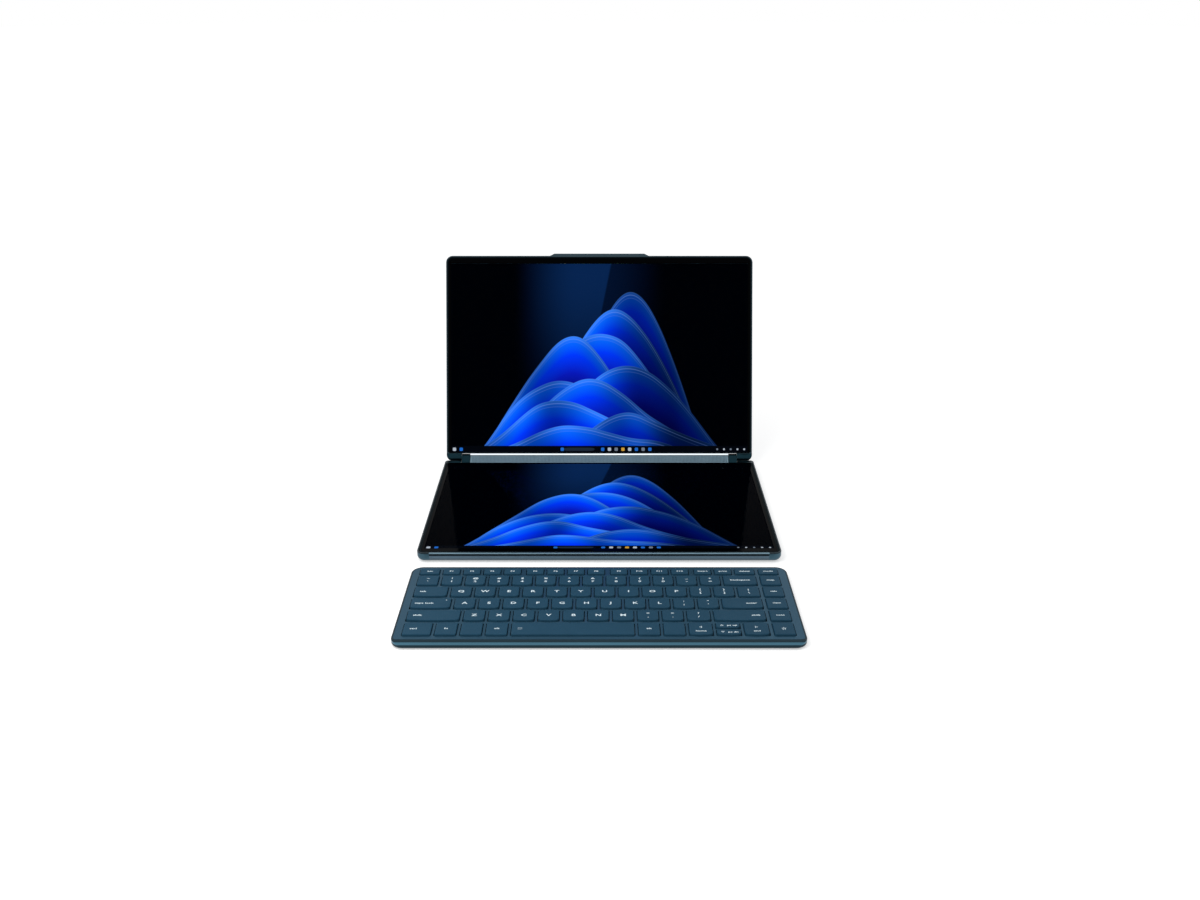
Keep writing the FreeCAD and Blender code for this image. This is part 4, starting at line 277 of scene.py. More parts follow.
def lit_panel(name, panel, tilt):
    """A lit display panel: black, with its picture as light, and the gloss of the clear glass bonded to it."""
    material, tree, shader, place = new_material(name, Roughness=0.07, Specular_IOR_Level=0.002)
    shader.inputs["Base Color"].default_value = linear("000102")
    across, up = screen_place(tree, place, panel, tilt)

    def blend(share, under, over, mode="MIX"):
        mix = add_node(tree, "ShaderNodeMix", {"Factor": share, "A": under, "B": over},
                       data_type="RGBA", blend_type=mode)
        return mix.outputs["Result"]

    def fade(value, start, stop, first=1.0, last=0.0, shape="SMOOTHSTEP"):
        sweep = add_node(tree, "ShaderNodeMapRange", {
            "Value": value, "From Min": start, "From Max": stop, "To Min": first, "To Max": last,
        }, interpolation_type=shape)
        return sweep.outputs["Result"]

    # a dim glow behind the waves, brightened left of a slanted line by a painted reflection, black towards the sides
    off_middle = reckon(tree, "ABSOLUTE", reckon(tree, "ADD", across, 0.03))
    glow = reckon(tree, "MULTIPLY", fade(off_middle, 0.04, 0.26), fade(up, 0.15, 0.95, 0.0, 1.0))
    slant = reckon(tree, "MULTIPLY_ADD", up, -0.13, across)
    painted_reflection_wedge = fade(slant, -0.0925, -0.0875, 1.0, 0.3, "LINEAR")
    picture = blend(reckon(tree, "MULTIPLY", glow, painted_reflection_wedge), linear("000002"), linear("08244f"))
    # each wave: a crest pale at its edge with finer lines under it, deep blue below, dark in its hollows
    ripple = add_node(tree, "ShaderNodeTexNoise", {"Vector": place, "Scale": 1 / (70 * MM), "Detail": 1.0})
    bent = reckon(tree, "MULTIPLY_ADD", ripple.outputs["Fac"], 0.16, across)
    bright_side = fade(across, -0.02, 0.26, 1.0, 0.10)
    for crest, middle, half, swing, waves, start, lean in WAVES:
        off_crest = reckon(tree, "SUBTRACT", across, middle)
        hill = reckon(tree, "POWER", fade(reckon(tree, "ABSOLUTE", off_crest), 0.0, half), 0.6)
        swell = reckon(tree, "SINE", reckon(tree, "MULTIPLY_ADD", bent, waves, start))
        level = reckon(tree, "MULTIPLY_ADD", off_crest, lean, crest)
        height = reckon(tree, "MULTIPLY_ADD", swell, swing, level)
        below = reckon(tree, "SUBTRACT", reckon(tree, "MULTIPLY", height, hill), up)
        shade = add_node(tree, "ShaderNodeValToRGB", {"Fac": reckon(tree, "MULTIPLY", below, 3.0)})
        ramp = shade.color_ramp
        ramp.elements[0].color = linear("3a86ff")
        ramp.elements[1].position = 0.95
        ramp.elements[1].color = linear("000224")
        for position, colour in ((0.10, "0868ff"), (0.30, "0038ff"), (0.58, "0818b8")):
            ramp.elements.new(position).color = linear(colour)
        turn = reckon(tree, "SINE", reckon(tree, "MULTIPLY_ADD", bent, waves * 1.9, start * 3 + crest * 9))
        lit = reckon(tree, "MULTIPLY", reckon(tree, "MULTIPLY_ADD", turn, 0.30, 0.70), bright_side)
        wave = blend(1.0, shade.outputs["Color"], blend(lit, linear("000000"), linear("ffffff")), "MULTIPLY")
        line = reckon(tree, "POWER", reckon(tree, "ABSOLUTE", reckon(tree, "COSINE",
                      reckon(tree, "MULTIPLY", below, 190.0))), 16.0)
        near_crest = fade(below, 0.006, 0.05)
        lines = reckon(tree, "MULTIPLY", reckon(tree, "MULTIPLY", line, near_crest), fade(across, 0.0, 0.32, 0.35, 0.12))
        wave = blend(lines, wave, linear("86aeff"))
        picture = blend(fade(below, 0.0, 0.003, 0.0, 1.0, "LINEAR"), picture, wave)
    # a dark strip along the bottom with a plain bar and small plain rounded tiles
    picture = blend(reckon(tree, "LESS_THAN", up, STRIP), picture, linear("03050b"))
    step = reckon(tree, "MULTIPLY", across, TILES)
    cell = reckon(tree, "FLOOR", step)
    off_row = reckon(tree, "MULTIPLY", reckon(tree, "ABSOLUTE", reckon(tree, "SUBTRACT", up, STRIP / 2)), 28.0)
    off_cell = reckon(tree, "ABSOLUTE", reckon(tree, "SUBTRACT", reckon(tree, "SUBTRACT", step, cell), 0.5))
    right_group = reckon(tree, "GREATER_THAN", cell, 16.5)
    spread = reckon(tree, "MULTIPLY_ADD", right_group, 0.9, 1.0)

    def tile(off_side, size):
        sides = [reckon(tree, "POWER", reckon(tree, "MULTIPLY", side, spread), 4.0) for side in (off_side, off_row)]
        return reckon(tree, "LESS_THAN", reckon(tree, "POWER", reckon(tree, "ADD", *sides), 0.25), size)

    bar = tile(reckon(tree, "MULTIPLY", reckon(tree, "ABSOLUTE", reckon(tree, "ADD", step, 3.0)), 0.11), 0.25)
    picture = blend(bar, picture, linear("1d2836"))
    in_middle = reckon(tree, "LESS_THAN", reckon(tree, "ABSOLUTE", reckon(tree, "SUBTRACT", cell, 0.5)), 7.0)
    off_bar = reckon(tree, "GREATER_THAN", reckon(tree, "ABSOLUTE", reckon(tree, "ADD", cell, 3.0)), 2.5)
    at_left = reckon(tree, "LESS_THAN", cell, -20.5)
    groups = reckon(tree, "ADD", reckon(tree, "MULTIPLY", in_middle, off_bar), reckon(tree, "ADD", at_left, right_group))
    pick = add_node(tree, "ShaderNodeTexWhiteNoise", {"W": cell}, noise_dimensions="1D")
    tints = add_node(tree, "ShaderNodeValToRGB", {"Fac": pick.outputs["Value"]})
    tints.color_ramp.interpolation = "CONSTANT"
    tints.color_ramp.elements[0].color = linear("aeb8c4")
    tints.color_ramp.elements[1].position = 0.8
    tints.color_ramp.elements[1].color = linear("6d7887")
    for position, colour in ((0.4, "1f66c4"), (0.6, "c99a3c")):
        tints.color_ramp.elements.new(position).color = linear(colour)
    picture = blend(reckon(tree, "MULTIPLY", tile(off_cell, 0.25), groups), picture, tints.outputs["Color"])
    tree.links.new(picture, shader.inputs["Emission Color"])
    shader.inputs["Emission Strength"].default_value = 1.0
    return material


def cover_glass(name, panel, tilt):
    """Toughened glass with a non-reflecting coat: clear over the panel, inked glossy black round it."""
    material, tree, shader, place = new_material(name, Roughness=0.06, Specular_IOR_Level=0.012)
    smear = add_node(tree, "ShaderNodeTexNoise", {"Vector": place, "Scale": 1 / (45 * MM), "Detail": 4.0})
    film = add_node(tree, "ShaderNodeMapRange", {"Value": smear.outputs["Fac"], "To Min": 0.03, "To Max": 0.12})
    tree.links.new(film.outputs["Result"], shader.inputs["Roughness"])
    shader.inputs["Base Color"].default_value = linear("010204")
    across, up = screen_place(tree, place, panel, tilt)
    beside = reckon(tree, "GREATER_THAN", reckon(tree, "ABSOLUTE", across), 0.499)
    off_height = reckon(tree, "ABSOLUTE", reckon(tree, "SUBTRACT", up, 0.5))
    inked = reckon(tree, "MAXIMUM", beside, reckon(tree, "GREATER_THAN", off_height, 0.499))
    clear = add_node(tree, "ShaderNodeBsdfTransparent")
    whole = add_node(tree, "ShaderNodeMixShader", {0: inked, 1: clear.outputs[0], 2: shader.outputs[0]})
    output = [item for item in tree.nodes if item.type == "OUTPUT_MATERIAL"][0]
    tree.links.new(whole.outputs[0], output.inputs["Surface"])
    return material


# How far the bands on a cover's rim reach backwards, in millimetres
RIM_REACH = 10.0


def banded(tree, depth, bands):
    """Colours in steps of depth: each band is the depth in millimetres at which it starts and its colour."""
    rim = add_node(tree, "ShaderNodeValToRGB", {"Fac": depth})
    ramp = rim.color_ramp
    ramp.interpolation = "CONSTANT"
    ramp.elements[0].color = linear(bands[0][1])
    ramp.elements[1].position = bands[-1][0] / RIM_REACH
    ramp.elements[1].color = linear(bands[-1][1])
    for start, colour in bands[1:-1]:
        ramp.elements.new(start / RIM_REACH).color = linear(colour)
    return rim.outputs["Color"]


def painted_rim_light_cover(name, node, tilt, bands, lip_light_bands=None):
    """Anodised aluminium whose rim is painted in bands of highlight and shade from its front face backwards.

    The lip is the straight stretch of the edge nearest the user, with its own bands of painted highlight and painted
    dark reflection."""
    material, tree, shader, place = new_material(name, Metallic=0.9)
    tones = wear_and_grain(tree, shader, place, "dcdcdc", "ffffff", 60 * MM, 0.35 * MM, 0.02 * MM, 0.38)
    low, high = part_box(node)
    start = Vector((0, low[1], low[2] if tilt else high[2]))
    outwards = Vector((0, -math.sin(tilt), math.cos(tilt)))
    front = max((vert.co - start).dot(outwards) for vert in nodes[node].data.vertices)
    across, up, out = panel_place(tree, place, node, tilt)
    depth = reckon(tree, "DIVIDE", reckon(tree, "SUBTRACT", front, out), RIM_REACH * MM)
    # painted highlight and shade in bands, standing in for the rim's reflections
    colour = banded(tree, depth, bands)
    if lip_light_bands:
        straight = reckon(tree, "LESS_THAN", reckon(tree, "ABSOLUTE", across), high[0] - LIP_END * MM)
        on_lip = reckon(tree, "MULTIPLY", straight, reckon(tree, "LESS_THAN", up, LIP_WIDTH * MM))
        colour = add_node(tree, "ShaderNodeMix", {
            "Factor": on_lip, "A": colour, "B": banded(tree, depth, lip_light_bands),
        }, data_type="RGBA").outputs["Result"]
    with_painted_rim_light = add_node(tree, "ShaderNodeMix", {
        "Factor": 1.0, "A": tones.outputs["Result"], "B": colour,
    }, data_type="RGBA", blend_type="MULTIPLY")
    tree.links.new(with_painted_rim_light.outputs["Result"], shader.inputs["Base Color"])
    return material


copper = copper_plate()
foil = foil_sleeve()
laminate = circuit_laminate()
ink = legend_ink()
SCREENS = {"lid": math.pi / 2 - lid_tilt, "base": 0.0}
finishes = {
    teal_aluminium: ["power_button", "camera_switch", "keyboard_switch"],
    deck_aluminium: ["keyboard_deck"],
    dark_aluminium: ["base_hinge_left", "base_hinge_right", "lid_hinge_left", "lid_hinge_right",
                     "soundbar_bearing_left", "soundbar_bearing_right", "soundbar_housing"],
    frame_nylon: ["base_frame", "lid_frame"],
    strip_aluminium_painted_glow: ["soundbar_trim"],
    ground_steel: ["base_hinge_shafts", "lid_hinge_shafts", "base_sync_gears", "lid_sync_gears",
                   "lower_idler_gears", "upper_idler_gears"],
    nickel_steel: ["usb_c_sockets", "keyboard_usb_c_socket"],
    black_steel: ["base_screws"],
    black_abs: ["soundbar_speakers", "fan_housing", "fan_rotor"],
    foot_rubber: ["base_feet", "keyboard_feet"],
    film_polyester: ["keyboard_membrane"],
    copper: ["heat_sink"],
    foil: ["battery_pack", "keyboard_battery"],
    laminate: ["main_board", "storage_drive", "camera_module", "display_board"],
}
# Rims painted in bands of light and shade: a painted dark reflection round the glass, and on the lower half a painted
# highlight on the lip over a painted dark band, with a painted reflection of the floor lighter at the foot
LIP_END = 10.5
LIP_WIDTH = 1.7
PAINTED_RIM_BANDS = {
    "lid_cover": (SCREENS["lid"], ((0, "3a4c55"), (1.6, "3e5c6a")), None),
    "base_cover": (0.0, ((0, "22323a"), (0.9, "3e5c6a")),
                   ((0, "7f9eae"), (0.8, "0d171d"), (2.5, "5a7080"), (4.6, "50626d"))),
    "keyboard_case": (0.0, ((0, "203640"), (0.7, "4d788c"), (1.9, "22363f")), None),
}
for cover, (lay, bands, lip_light_bands) in PAINTED_RIM_BANDS.items():
    finishes[painted_rim_light_cover("anodised_" + cover, cover, lay, bands, lip_light_bands)] = [cover]
for half, lay in SCREENS.items():
    finishes[lit_panel("lit_panel_" + half, half + "_display_panel", lay)] = [half + "_display_panel"]
    finishes[cover_glass("coated_glass_" + half, half + "_display_panel", lay)] = [half + "_glass"]
for finish, names in finishes.items():
    for name in names:
        mesh = nodes[name].data
        mesh.materials.clear()
        mesh.materials.append(finish)


def rounded_edges(name, width):
    """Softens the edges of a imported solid."""
    piece = nodes[name]
    weld = piece.modifiers.new("joined", "WELD")
    weld.merge_threshold = 0.001 * MM
    soft = piece.modifiers.new("softened", "BEVEL")
    soft.width = width * MM
    soft.segments = 2
    soft.angle_limit = math.radians(50)
    soft.harden_normals = False


# Pieces made anew
def new_piece(name, shape, material, body, replaced=(), smooth_under=40):
    """Turns a drawn shape into a piece that rides on a body."""
    mesh = bpy.data.meshes.new(name)
    shape.to_mesh(mesh)
    shape.free()
    mesh.materials.append(material)
    mesh.shade_smooth()
    mesh.set_sharp_from_angle(angle=math.radians(smooth_under))
    piece = bpy.data.objects.new(name, mesh)
    bpy.context.scene.collection.objects.link(piece)
    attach(piece, body)
    if replaced:
        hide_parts(*replaced)
    return piece


def islands(mesh):
    """The separate lumps of a mesh, each as (lowest corner, highest corner, number of its corners)."""
    shape = bmesh.new()
    shape.from_mesh(mesh)
    bmesh.ops.remove_doubles(shape, verts=shape.verts, dist=0.001 * MM)
    seen = set()
    found = []
    for first in shape.verts:
        if first in seen:
            continue
        lump = [first]
        seen.add(first)
        for vert in lump:
            for edge in vert.link_edges:
                other = edge.other_vert(vert)
                if other not in seen:
                    seen.add(other)
                    lump.append(other)
        low = Vector([min(vert.co[axis] for vert in lump) for axis in range(3)])
        high = Vector([max(vert.co[axis] for vert in lump) for axis in range(3)])
        found.append((low, high, len(lump)))
    shape.free()
    return sorted(found, key=lambda lump: (round(lump[0].x, 4), -lump[0].y))


# Keycaps
CAP_TAPER = math.tan(math.radians(9.0))
CAP_EDGE = 0.35 * MM
CAP_DISH = 0.12 * MM
CAP_CORNER = 0.9 * MM
CAP_WIDE_CORNER = 2.6 * MM
CAP_BOW = 0.75 * MM
CORNER_STEPS = 5
SIDE_STEPS = 8


def cap_outline(low, high, inset, smiling):
    """Corners of a keycap's outline at a given inset, anticlockwise from the front left."""
    x_low, x_high, y_low, y_high = low.x + inset, high.x - inset, low.y + inset, high.y - inset
    front = max(CAP_WIDE_CORNER if smiling else CAP_CORNER, inset) - inset * 0.3
    back = CAP_CORNER
    middle, half = (x_low + x_high) / 2, (x_high - x_low) / 2
    points = []
    for x, y, radius, start in (
        (x_low + front, y_low + front, front, 180), (x_high - front, y_low + front, front, 270),
        (x_high - back, y_high - back, back, 0), (x_low + back, y_high - back, back, 90),
    ):
        for step in range(CORNER_STEPS + 1):
            angle = math.radians(start + 90 * step / CORNER_STEPS)
            points.append([x + radius * math.cos(angle), y + radius * math.sin(angle)])
        if start == 180:
            first, last = x_low + front, x_high - front
            points += [[first + (last - first) * step / SIDE_STEPS, y_low] for step in range(1, SIDE_STEPS)]
    if smiling:
        for point in points:
            near_front = max(0.0, ((y_low + y_high) / 2 - point[1]) / ((y_high - y_low) / 2))
            point[1] += CAP_BOW * near_front * ((point[0] - middle) / half) ** 2
    return points


def cap_top(low, high, x, y):
    """Height of a keycap's dished top at a place."""
    inset = CAP_TAPER * (high.z - low.z) + CAP_EDGE
    across = (x - (low.x + high.x) / 2) / ((high.x - low.x) / 2 - inset)
    along = (y - (low.y + high.y) / 2) / ((high.y - low.y) / 2 - inset)
    return high.z - CAP_DISH * max(0.0, 1 - across ** 2) * max(0.0, 1 - along ** 2)


def add_cap(shape, low, high, smiling):
    """A keycap: tapered sides, rounded top edge and a slightly dished top."""
    edge_start = high.z - CAP_EDGE
    levels = [(0.0, low.z)]
    for quarter in (0, 30, 60, 90):
        angle = math.radians(quarter)
        lean = CAP_TAPER * (edge_start - low.z)
        levels.append((lean + CAP_EDGE * (1 - math.cos(angle)), edge_start + CAP_EDGE * math.sin(angle)))
    rings = []
    for inset, level in levels:
        outline = cap_outline(low, high, inset, smiling)
        rings.append([shape.verts.new((x, y, level)) for x, y in outline])
    centre = Vector(((low.x + high.x) / 2, (low.y + high.y) / 2))
    for share in (0.85, 0.65, 0.45, 0.25, 0.1):
        ring = []
        for x, y in outline:
            x, y = centre.x + (x - centre.x) * share, centre.y + (y - centre.y) * share
            ring.append(shape.verts.new((x, y, cap_top(low, high, x, y))))
        rings.append(ring)
    for lower, upper in zip(rings, rings[1:]):
        for i in range(len(lower)):
            j = (i + 1) % len(lower)
            shape.faces.new((lower[i], lower[j], upper[j], upper[i]))
    shape.faces.new(rings[-1])
    shape.faces.new(rings[0][::-1])


# Legends: for each key of a sub-part, from the left, a list of (word, letter height in mm, right, up in mm)
def centred(word, height=2.6):
    return [(word, height, 0, 0.3)]


def over_and_under(upper, lower):
    return [(upper, 2.2, 0, 2.9), (lower, 2.4, 0, -2.0)]


LEGENDS = {
    "keys_function_row": [centred(word, 1.7) for word in (
        "esc", "F1", "F2", "F3", "F4", "F5", "F6", "F7", "F8", "F9", "F10", "F11", "F12", "insert", "print",
        "delete", "mode")],
    "keys_number_row": [over_and_under(*pair) for pair in (
        "~`", "!1", "@2", "#3", "$4", "%5", "^6", "&7", "*8", "(9", ")0", "_-", "+=")],
    "keys_upper_letters": [centred(letter, 3.0) for letter in "QWERTYUIOP"] + [
        over_and_under(*pair) for pair in ("{[", "}]", "|\\")],
    "keys_home_letters": [centred(letter, 3.0) for letter in "ASDFGHJKL"] + [
        over_and_under(*pair) for pair in (":;", "\"'")],
    "keys_lower_letters": [centred(letter, 3.0) for letter in "ZXCVBNM"] + [
        over_and_under(*pair) for pair in ("<,", ">.", "?/")],
    "keys_modifiers": [[("ctrl", 1.9, -3, 0)], centred("fn", 1.9), [], centred("alt", 1.9), centred("alt", 1.9),
                       []],
    "keys_side_column": [centred(word, 1.7) for word in ("snap", "calc", "view", "note")],
    "keys_arrows": [[("home", 1.7, 0, -3.2)], [("pg up", 1.7, 3, 0)], [("pg dn", 1.7, 3, 0)],
                    [("end", 1.7, 0, -3.2)]],
    "key_space": [],
    "key_backspace": [centred("backspace", 1.9)],
    "key_tab": [[("tab", 1.9, -6, 0)]],
    "key_caps_lock": [[("caps lock", 1.9, -5, 0)]],
    "key_enter": [[("enter", 1.9, 7, 0)]],
    "key_shift_left": [[("shift", 1.9, -12, 0)]],
    "key_shift_right": [[("shift", 1.9, 12, 0)]],
}
LEGEND_RISE = 0.035 * MM
LEGEND_SINK = 0.05 * MM
LETTER_WIDTH = 1.45
glyphs = {}


def word_shape(word):
    """A word as corners and faces, its capital height 1 and its middle at the origin."""
    if word not in glyphs:
        text = bpy.data.curves.new("word", "FONT")
        text.body = word
        text.align_x = "CENTER"
        text.resolution_u = 3
        text.offset = 0.02
        text.extrude = 0.01
        holder = bpy.data.objects.new("word", text)
        bpy.context.scene.collection.objects.link(holder)
        bpy.context.view_layer.update()
        seen = holder.evaluated_get(bpy.context.evaluated_depsgraph_get())
        mesh = bpy.data.meshes.new_from_object(seen)
        middle = 0.36
        glyphs[word] = (
            [(vert.co.x * LETTER_WIDTH / 0.72, (vert.co.y - middle) / 0.72, vert.co.z > 0) for vert in mesh.vertices],
            [list(face.vertices) for face in mesh.polygons],
        )
        bpy.data.meshes.remove(mesh)
        bpy.data.objects.remove(holder)
    return glyphs[word]


def add_printed(shape, points, faces, low, high):
    """Lays flat artwork on a keycap's dished top, as a thin layer of ink."""
    verts = []
    for x, y, upper in points:
        level = cap_top(low, high, x, y)
        verts.append(shape.verts.new((x, y, level + (LEGEND_RISE if upper else -LEGEND_SINK))))
    for face in faces:
        shape.faces.new([verts[i] for i in face])


def add_outline_mark(shape, corners, low, high, x, y, filled):
    """Prints a small mark with straight sides, filled or as an outline, about a place on a key."""
    layers = (True, False)
    inner_share = 0.0 if filled else 0.62
    outer = [(x + cx * MM, y + cy * MM) for cx, cy in corners]
    inner = [(x + cx * MM * inner_share, y + cy * MM * inner_share) for cx, cy in corners]
    count = len(corners)
    points = [(px, py, upper) for upper in layers for ring in (outer, inner) for px, py in ring]
    faces = []
    for i in range(count):
        j = (i + 1) % count
        faces.append((i, j, count + j, count + i))
        faces.append((2 * count + j, 2 * count + i, 3 * count + i, 3 * count + j))
        faces.append((2 * count + i, 2 * count + j, j, i))
        faces.append((count + i, count + j, 3 * count + j, 3 * count + i))
    add_printed(shape, points, faces, low, high)


def star_corners(points, outer, inner):
    """Corners of a star, in millimetres."""
    corners = []
    for step in range(2 * points):
        radius = inner if step % 2 else outer
        angle = math.pi / 2 + math.pi * step / points
        corners.append((radius * math.cos(angle), radius * math.sin(angle)))
    return corners


def turned(corners, angle):
    """Corners turned about the origin by an angle in degrees."""
    c, s = math.cos(math.radians(angle)), math.sin(math.radians(angle))
    return [(c * x - s * y, s * x + c * y) for x, y in corners]


ARROW = [(0, 1.1), (-1.3, -0.9), (1.3, -0.9)]
LINE = [(1.6, 0.12), (-1.6, 0.12), (-1.6, -0.12), (1.6, -0.12)]
# Marks: for a key by sub-part and number, (corners, right, up in mm, filled)
MARKS = {
    ("keys_arrows", 0): [(turned(ARROW, 90), 0, 2.2, False)],
    ("keys_arrows", 1): [(ARROW, -4.5, 0, False)],
    ("keys_arrows", 2): [(turned(ARROW, 180), -4.5, 0, False)],
    ("keys_arrows", 3): [(turned(ARROW, -90), 0, 2.2, False)],
    ("keys_side_column", 4): [(star_corners(5, 2.0, 0.8), 0, 0, False)],
    ("key_caps_lock", 0): [(star_corners(6, 0.45, 0.39), 11.5, 4.2, True)],
    ("key_space", 0): [(LINE, -38.5, 0.8, True), (LINE, -38.5, -0.8, True)],
}
key_nodes = [name for name in nodes if name.startswith("key_") or name.startswith("keys_")]
for name in sorted(key_nodes):
    caps = bmesh.new()
    prints = bmesh.new()
    for number, (low, high, corner_count) in enumerate(islands(nodes[name].data)):
        add_cap(caps, low, high, corner_count > 20)
        middle_x, middle_y = (low.x + high.x) / 2, (low.y + high.y) / 2
        words = LEGENDS[name][number] if number < len(LEGENDS[name]) else []
        for word, height, right, up in words:
            points, faces = word_shape(word)
            laid = [
                (middle_x + (right + x * height) * MM, middle_y + (up + y * height) * MM, upper)
                for x, y, upper in points
            ]
            add_printed(prints, laid, faces, low, high)
        for corners, right, up, filled in MARKS.get((name, number), []):
            add_outline_mark(prints, corners, low, high, middle_x + right * MM, middle_y + up * MM, filled)
    new_piece("caps_" + name, caps, key_abs, name, [name], 60)
    if prints.verts:
        new_piece("legends_" + name, prints, ink, name)
    else:
        prints.free()


# Hinge blocks with their outer corners rounded as seen on the open halves
CORNER_CUTS = 6


def rounded_block(name, side, up, radius, body):
    """A copy of a packed hinge block whose outer corner by the hinge follows a round arc.

    Up is the direction in the half's own plane that leads away from the hinge."""
    shape = bmesh.new()
    shape.from_mesh(nodes[name].data)
    bmesh.ops.remove_doubles(shape, verts=shape.verts, dist=0.001 * MM)
    outwards = Vector((side, 0, 0))
    lowest = min(shape.verts, key=lambda vert: vert.co.dot(up)).co.dot(up)
    outermost = max(vert.co.dot(outwards) for vert in shape.verts)
    anchor = up * (lowest + radius) + outwards * (outermost - radius)
    for cut in range(CORNER_CUTS):
        angle = math.radians(90) * (cut + 0.5) / CORNER_CUTS
        facing = outwards * math.cos(angle) - up * math.sin(angle)
        every = shape.verts[:] + shape.edges[:] + shape.faces[:]
        cut_through = bmesh.ops.bisect_plane(
            shape, geom=every, plane_co=anchor + facing * radius, plane_no=facing, clear_outer=True,
        )
        rim = [item for item in cut_through["geom_cut"] if isinstance(item, bmesh.types.BMEdge)]
        bmesh.ops.holes_fill(shape, edges=rim, sides=0)
    bmesh.ops.recalc_face_normals(shape, faces=shape.faces)
    return new_piece("rounded_" + name, shape, dark_aluminium, body, [name], 35)


up_lid = Vector((0, math.sin(lid_tilt), math.cos(lid_tilt)))
for side, word in ((-1, "left"), (1, "right")):
    rounded_block("lid_hinge_" + word, side, up_lid, 6.5 * MM, "lid")
    rounded_block("base_hinge_" + word, side, Vector((0, -1, 0)), 8.0 * MM, "base")


# Grille of the sound bar: a perforated plate
def perforated_plate():
    """A plate with rows of round holes, drawn in the bar's own frame."""
    low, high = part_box("soundbar_grille")
    thick = 0.8 * MM
    face_level = 3.75 * MM
    bottom, top = 0.35 * MM, (upper_axis - lower_axis).length - 0.35 * MM
    border = 0.6 * MM
    rows = 5
    pitch = (top - bottom - 2 * border) / rows
    columns = int((high[0] - low[0] - 2 * border) / pitch)
    start = -columns * pitch / 2
    hole = 0.33 * pitch
    shape = bmesh.new()
    corners = {}

    def at(x, z, depth):
        key = (round(x * 1e7), round(z * 1e7), depth)
        if key not in corners:
            place = lower_axis + Vector((x, 0, 0)) + up_bar * z
            place += out_of_grille * (face_level - (thick if depth else 0))
            corners[key] = shape.verts.new(place)
        return corners[key]

    def quad(points, flip):
        face = [at(*point) for point in points]
        shape.faces.new(face[::-1] if flip else face)

    for column in range(columns):
        for row in range(rows):
            x, z = start + (column + 0.5) * pitch, bottom + border + (row + 0.5) * pitch
            ring, frame_ring = [], []
            for step in range(8):
                angle = math.pi * step / 4
                ring.append((x + hole * math.cos(angle), z + hole * math.sin(angle)))
                reach = pitch / 2
                side = [max(-1, min(1, round(math.sqrt(2) * share))) for share in (math.cos(angle), math.sin(angle))]
                frame_ring.append((x + reach * side[0], z + reach * side[1]))
            for step in range(8):
                following = (step + 1) % 8
                for depth in (0, 1):
                    quad([(*ring[step], depth), (*frame_ring[step], depth), (*frame_ring[following], depth),
                          (*ring[following], depth)], depth == 1)
                quad([(*ring[step], 1), (*ring[step], 0), (*ring[following], 0), (*ring[following], 1)], True)
    return shape, (low[0], high[0], bottom, top, border, pitch, columns, rows, at, quad)


def grille():
    shape, (left, right, bottom, top, border, pitch, columns, rows, at, quad) = perforated_plate()
    # the plain border round the holes, in steps of half a pitch so that it joins the holes' plates
    x_steps = [-columns * pitch / 2 + pitch / 2 * step for step in range(2 * columns + 1)]
    z_steps = [bottom + border + pitch / 2 * step for step in range(2 * rows + 1)]
    outer_x = [left] + x_steps[1:-1] + [right]
    outer_z = [bottom] + z_steps[1:-1] + [top]
    for depth in (0, 1):
        for near, far, flip in ((z_steps[0], bottom, True), (z_steps[-1], top, False)):
            for i in range(2 * columns):
                quad([(x_steps[i], near, depth), (outer_x[i], far, depth), (outer_x[i + 1], far, depth),
                      (x_steps[i + 1], near, depth)], flip != (depth == 1))
        for near, far, flip in ((x_steps[0], left, False), (x_steps[-1], right, True)):
            for i in range(2 * rows):
                quad([(near, z_steps[i], depth), (far, outer_z[i], depth), (far, outer_z[i + 1], depth),
                      (near, z_steps[i + 1], depth)], flip != (depth == 1))
    for i in range(2 * columns):
        quad([(outer_x[i], bottom, 0), (outer_x[i], bottom, 1), (outer_x[i + 1], bottom, 1),
              (outer_x[i + 1], bottom, 0)], False)
        quad([(outer_x[i], top, 0), (outer_x[i], top, 1), (outer_x[i + 1], top, 1),
              (outer_x[i + 1], top, 0)], True)
    for i in range(2 * rows):
        quad([(left, outer_z[i], 0), (left, outer_z[i], 1), (left, outer_z[i + 1], 1),
              (left, outer_z[i + 1], 0)], True)
        quad([(right, outer_z[i], 0), (right, outer_z[i], 1), (right, outer_z[i + 1], 1),
              (right, outer_z[i + 1], 0)], False)
    bmesh.ops.recalc_face_normals(shape, faces=shape.faces)
    return shape


new_piece("perforated_grille", grille(), grille_steel, "soundbar", ["soundbar_grille"], 30)


# Studio: pale floor, plain white surroundings, soft light
def white_where_seen(tree):
    """1 for the camera, mirrors and glass, 0 for the light on surfaces."""
    rays = add_node(tree, "ShaderNodeLightPath")
    seen = add_node(tree, "ShaderNodeMath", {
        0: rays.outputs["Is Camera Ray"], 1: rays.outputs["Is Glossy Ray"],
    }, operation="MAXIMUM").outputs[0]
    return add_node(tree, "ShaderNodeMath", {
        0: seen, 1: rays.outputs["Is Transmission Ray"],
    }, operation="MAXIMUM").outputs[0]


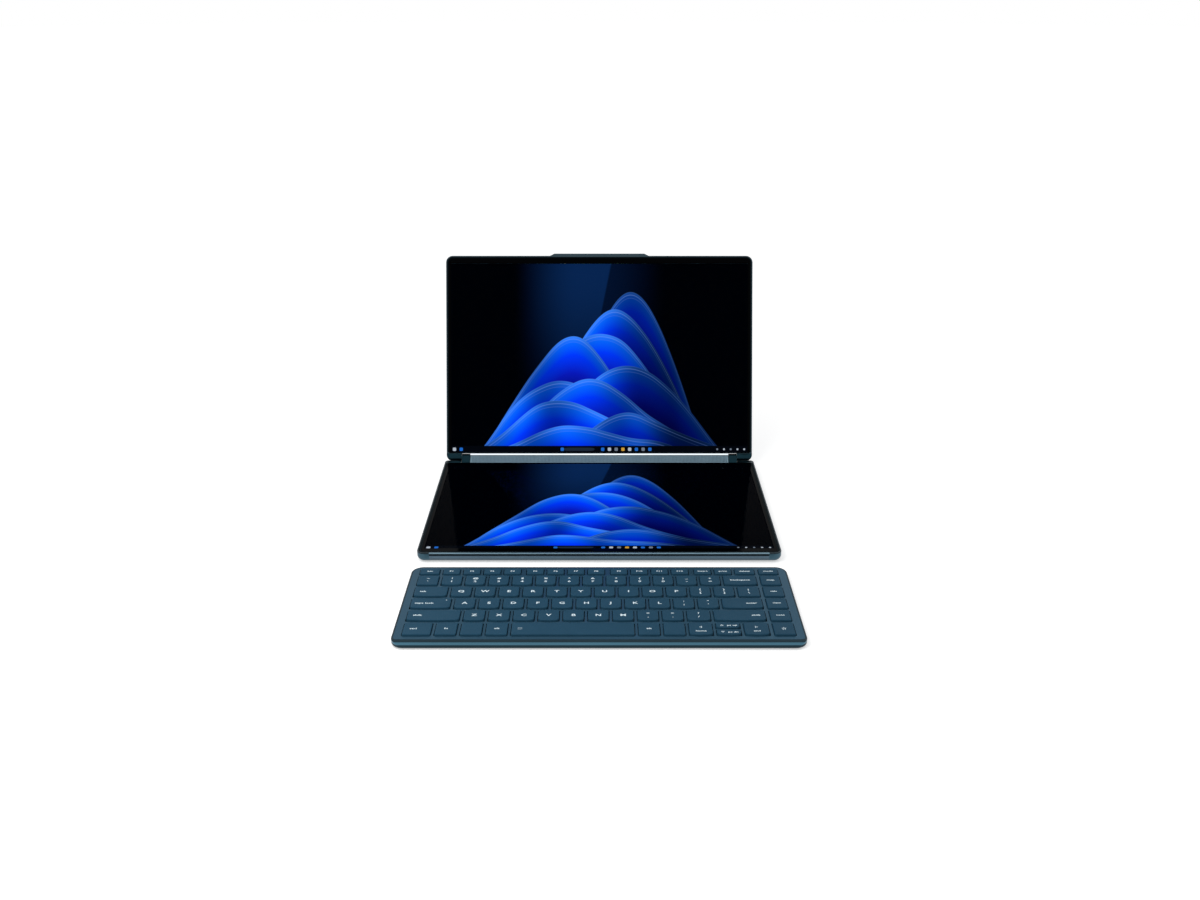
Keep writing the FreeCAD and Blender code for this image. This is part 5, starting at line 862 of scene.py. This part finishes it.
def make_floor():
    """A wide pale floor that takes the object's soft shadow, with a painted contact shade that dims its glow close to
    the object.
    """
    shape = bmesh.new()
    bmesh.ops.create_circle(shape, cap_ends=True, segments=64, radius=12.0)
    mesh = bpy.data.meshes.new("studio_floor")
    shape.to_mesh(mesh)
    shape.free()
    floor = bpy.data.objects.new("studio_floor", mesh)
    floor.location = (0, 0, -0.0002)
    bpy.context.scene.collection.objects.link(floor)
    material = bpy.data.materials.new("pale_studio_floor")
    material.use_nodes = True
    tree = material.node_tree
    tree.nodes.clear()
    matt = add_node(tree, "ShaderNodeBsdfDiffuse", {"Color": linear("e6e6e6")})
    # painted contact shade: the floor's glow is dimmed by ambient occlusion near the object
    corner = add_node(tree, "ShaderNodeAmbientOcclusion", {"Distance": 14 * MM})
    glow_with_painted_shade = reckon(tree, "MULTIPLY_ADD", corner.outputs["AO"], 0.2, 0.45)
    strength = reckon(tree, "MULTIPLY", white_where_seen(tree), glow_with_painted_shade)
    light = add_node(tree, "ShaderNodeEmission", {"Strength": strength})
    both = add_node(tree, "ShaderNodeAddShader", {0: matt.outputs[0], 1: light.outputs[0]})
    add_node(tree, "ShaderNodeOutputMaterial", {"Surface": both.outputs[0]})
    mesh.materials.append(material)


def make_surroundings():
    """A soft grey dome of light that looks white to the camera and in reflections."""
    world = bpy.data.worlds.new("studio_world")
    bpy.context.scene.world = world
    world.use_nodes = True
    tree = world.node_tree
    tree.nodes.clear()
    level = add_node(tree, "ShaderNodeMapRange", {"Value": white_where_seen(tree), "To Min": 0.38, "To Max": 1.0})
    sky = add_node(tree, "ShaderNodeBackground", {
        "Color": (1, 1, 1, 1), "Strength": level.outputs["Result"],
    })
    add_node(tree, "ShaderNodeOutputWorld", {"Surface": sky.outputs[0]})


def make_lamp(name, kind, place, aim, energy, **settings):
    """A lamp at a place, turned towards another."""
    lamp = bpy.data.lights.new(name, kind)
    lamp.energy = energy
    for key, value in settings.items():
        setattr(lamp, key, value)
    holder = bpy.data.objects.new(name, lamp)
    holder.location = place
    holder.rotation_euler = (Vector(aim) - Vector(place)).to_track_quat("-Z", "Y").to_euler()
    holder.visible_camera = False
    holder.visible_glossy = False
    bpy.context.scene.collection.objects.link(holder)


make_floor()
make_surroundings()
make_lamp("high_light", "SUN", (-0.5, -1.1, 2.2), (0, 0, 0), 0.45, angle=math.radians(60))
make_lamp("left_light", "AREA", (-0.20, -0.32, 0.42), (-0.1, -0.15, 0), 0.9, shape="DISK", size=0.3)

camera = bpy.data.cameras.new("camera")
camera.lens = 35.23
camera.sensor_width = 36.0
camera.clip_start = 0.01
camera_stand = bpy.data.objects.new("camera", camera)
camera_stand.location = (0.00065, -0.9277, 0.446)
camera_stand.rotation_euler = (math.radians(68), 0, 0)
bpy.context.scene.collection.objects.link(camera_stand)
bpy.context.scene.camera = camera_stand
bpy.context.scene.view_settings.view_transform = "Standard"
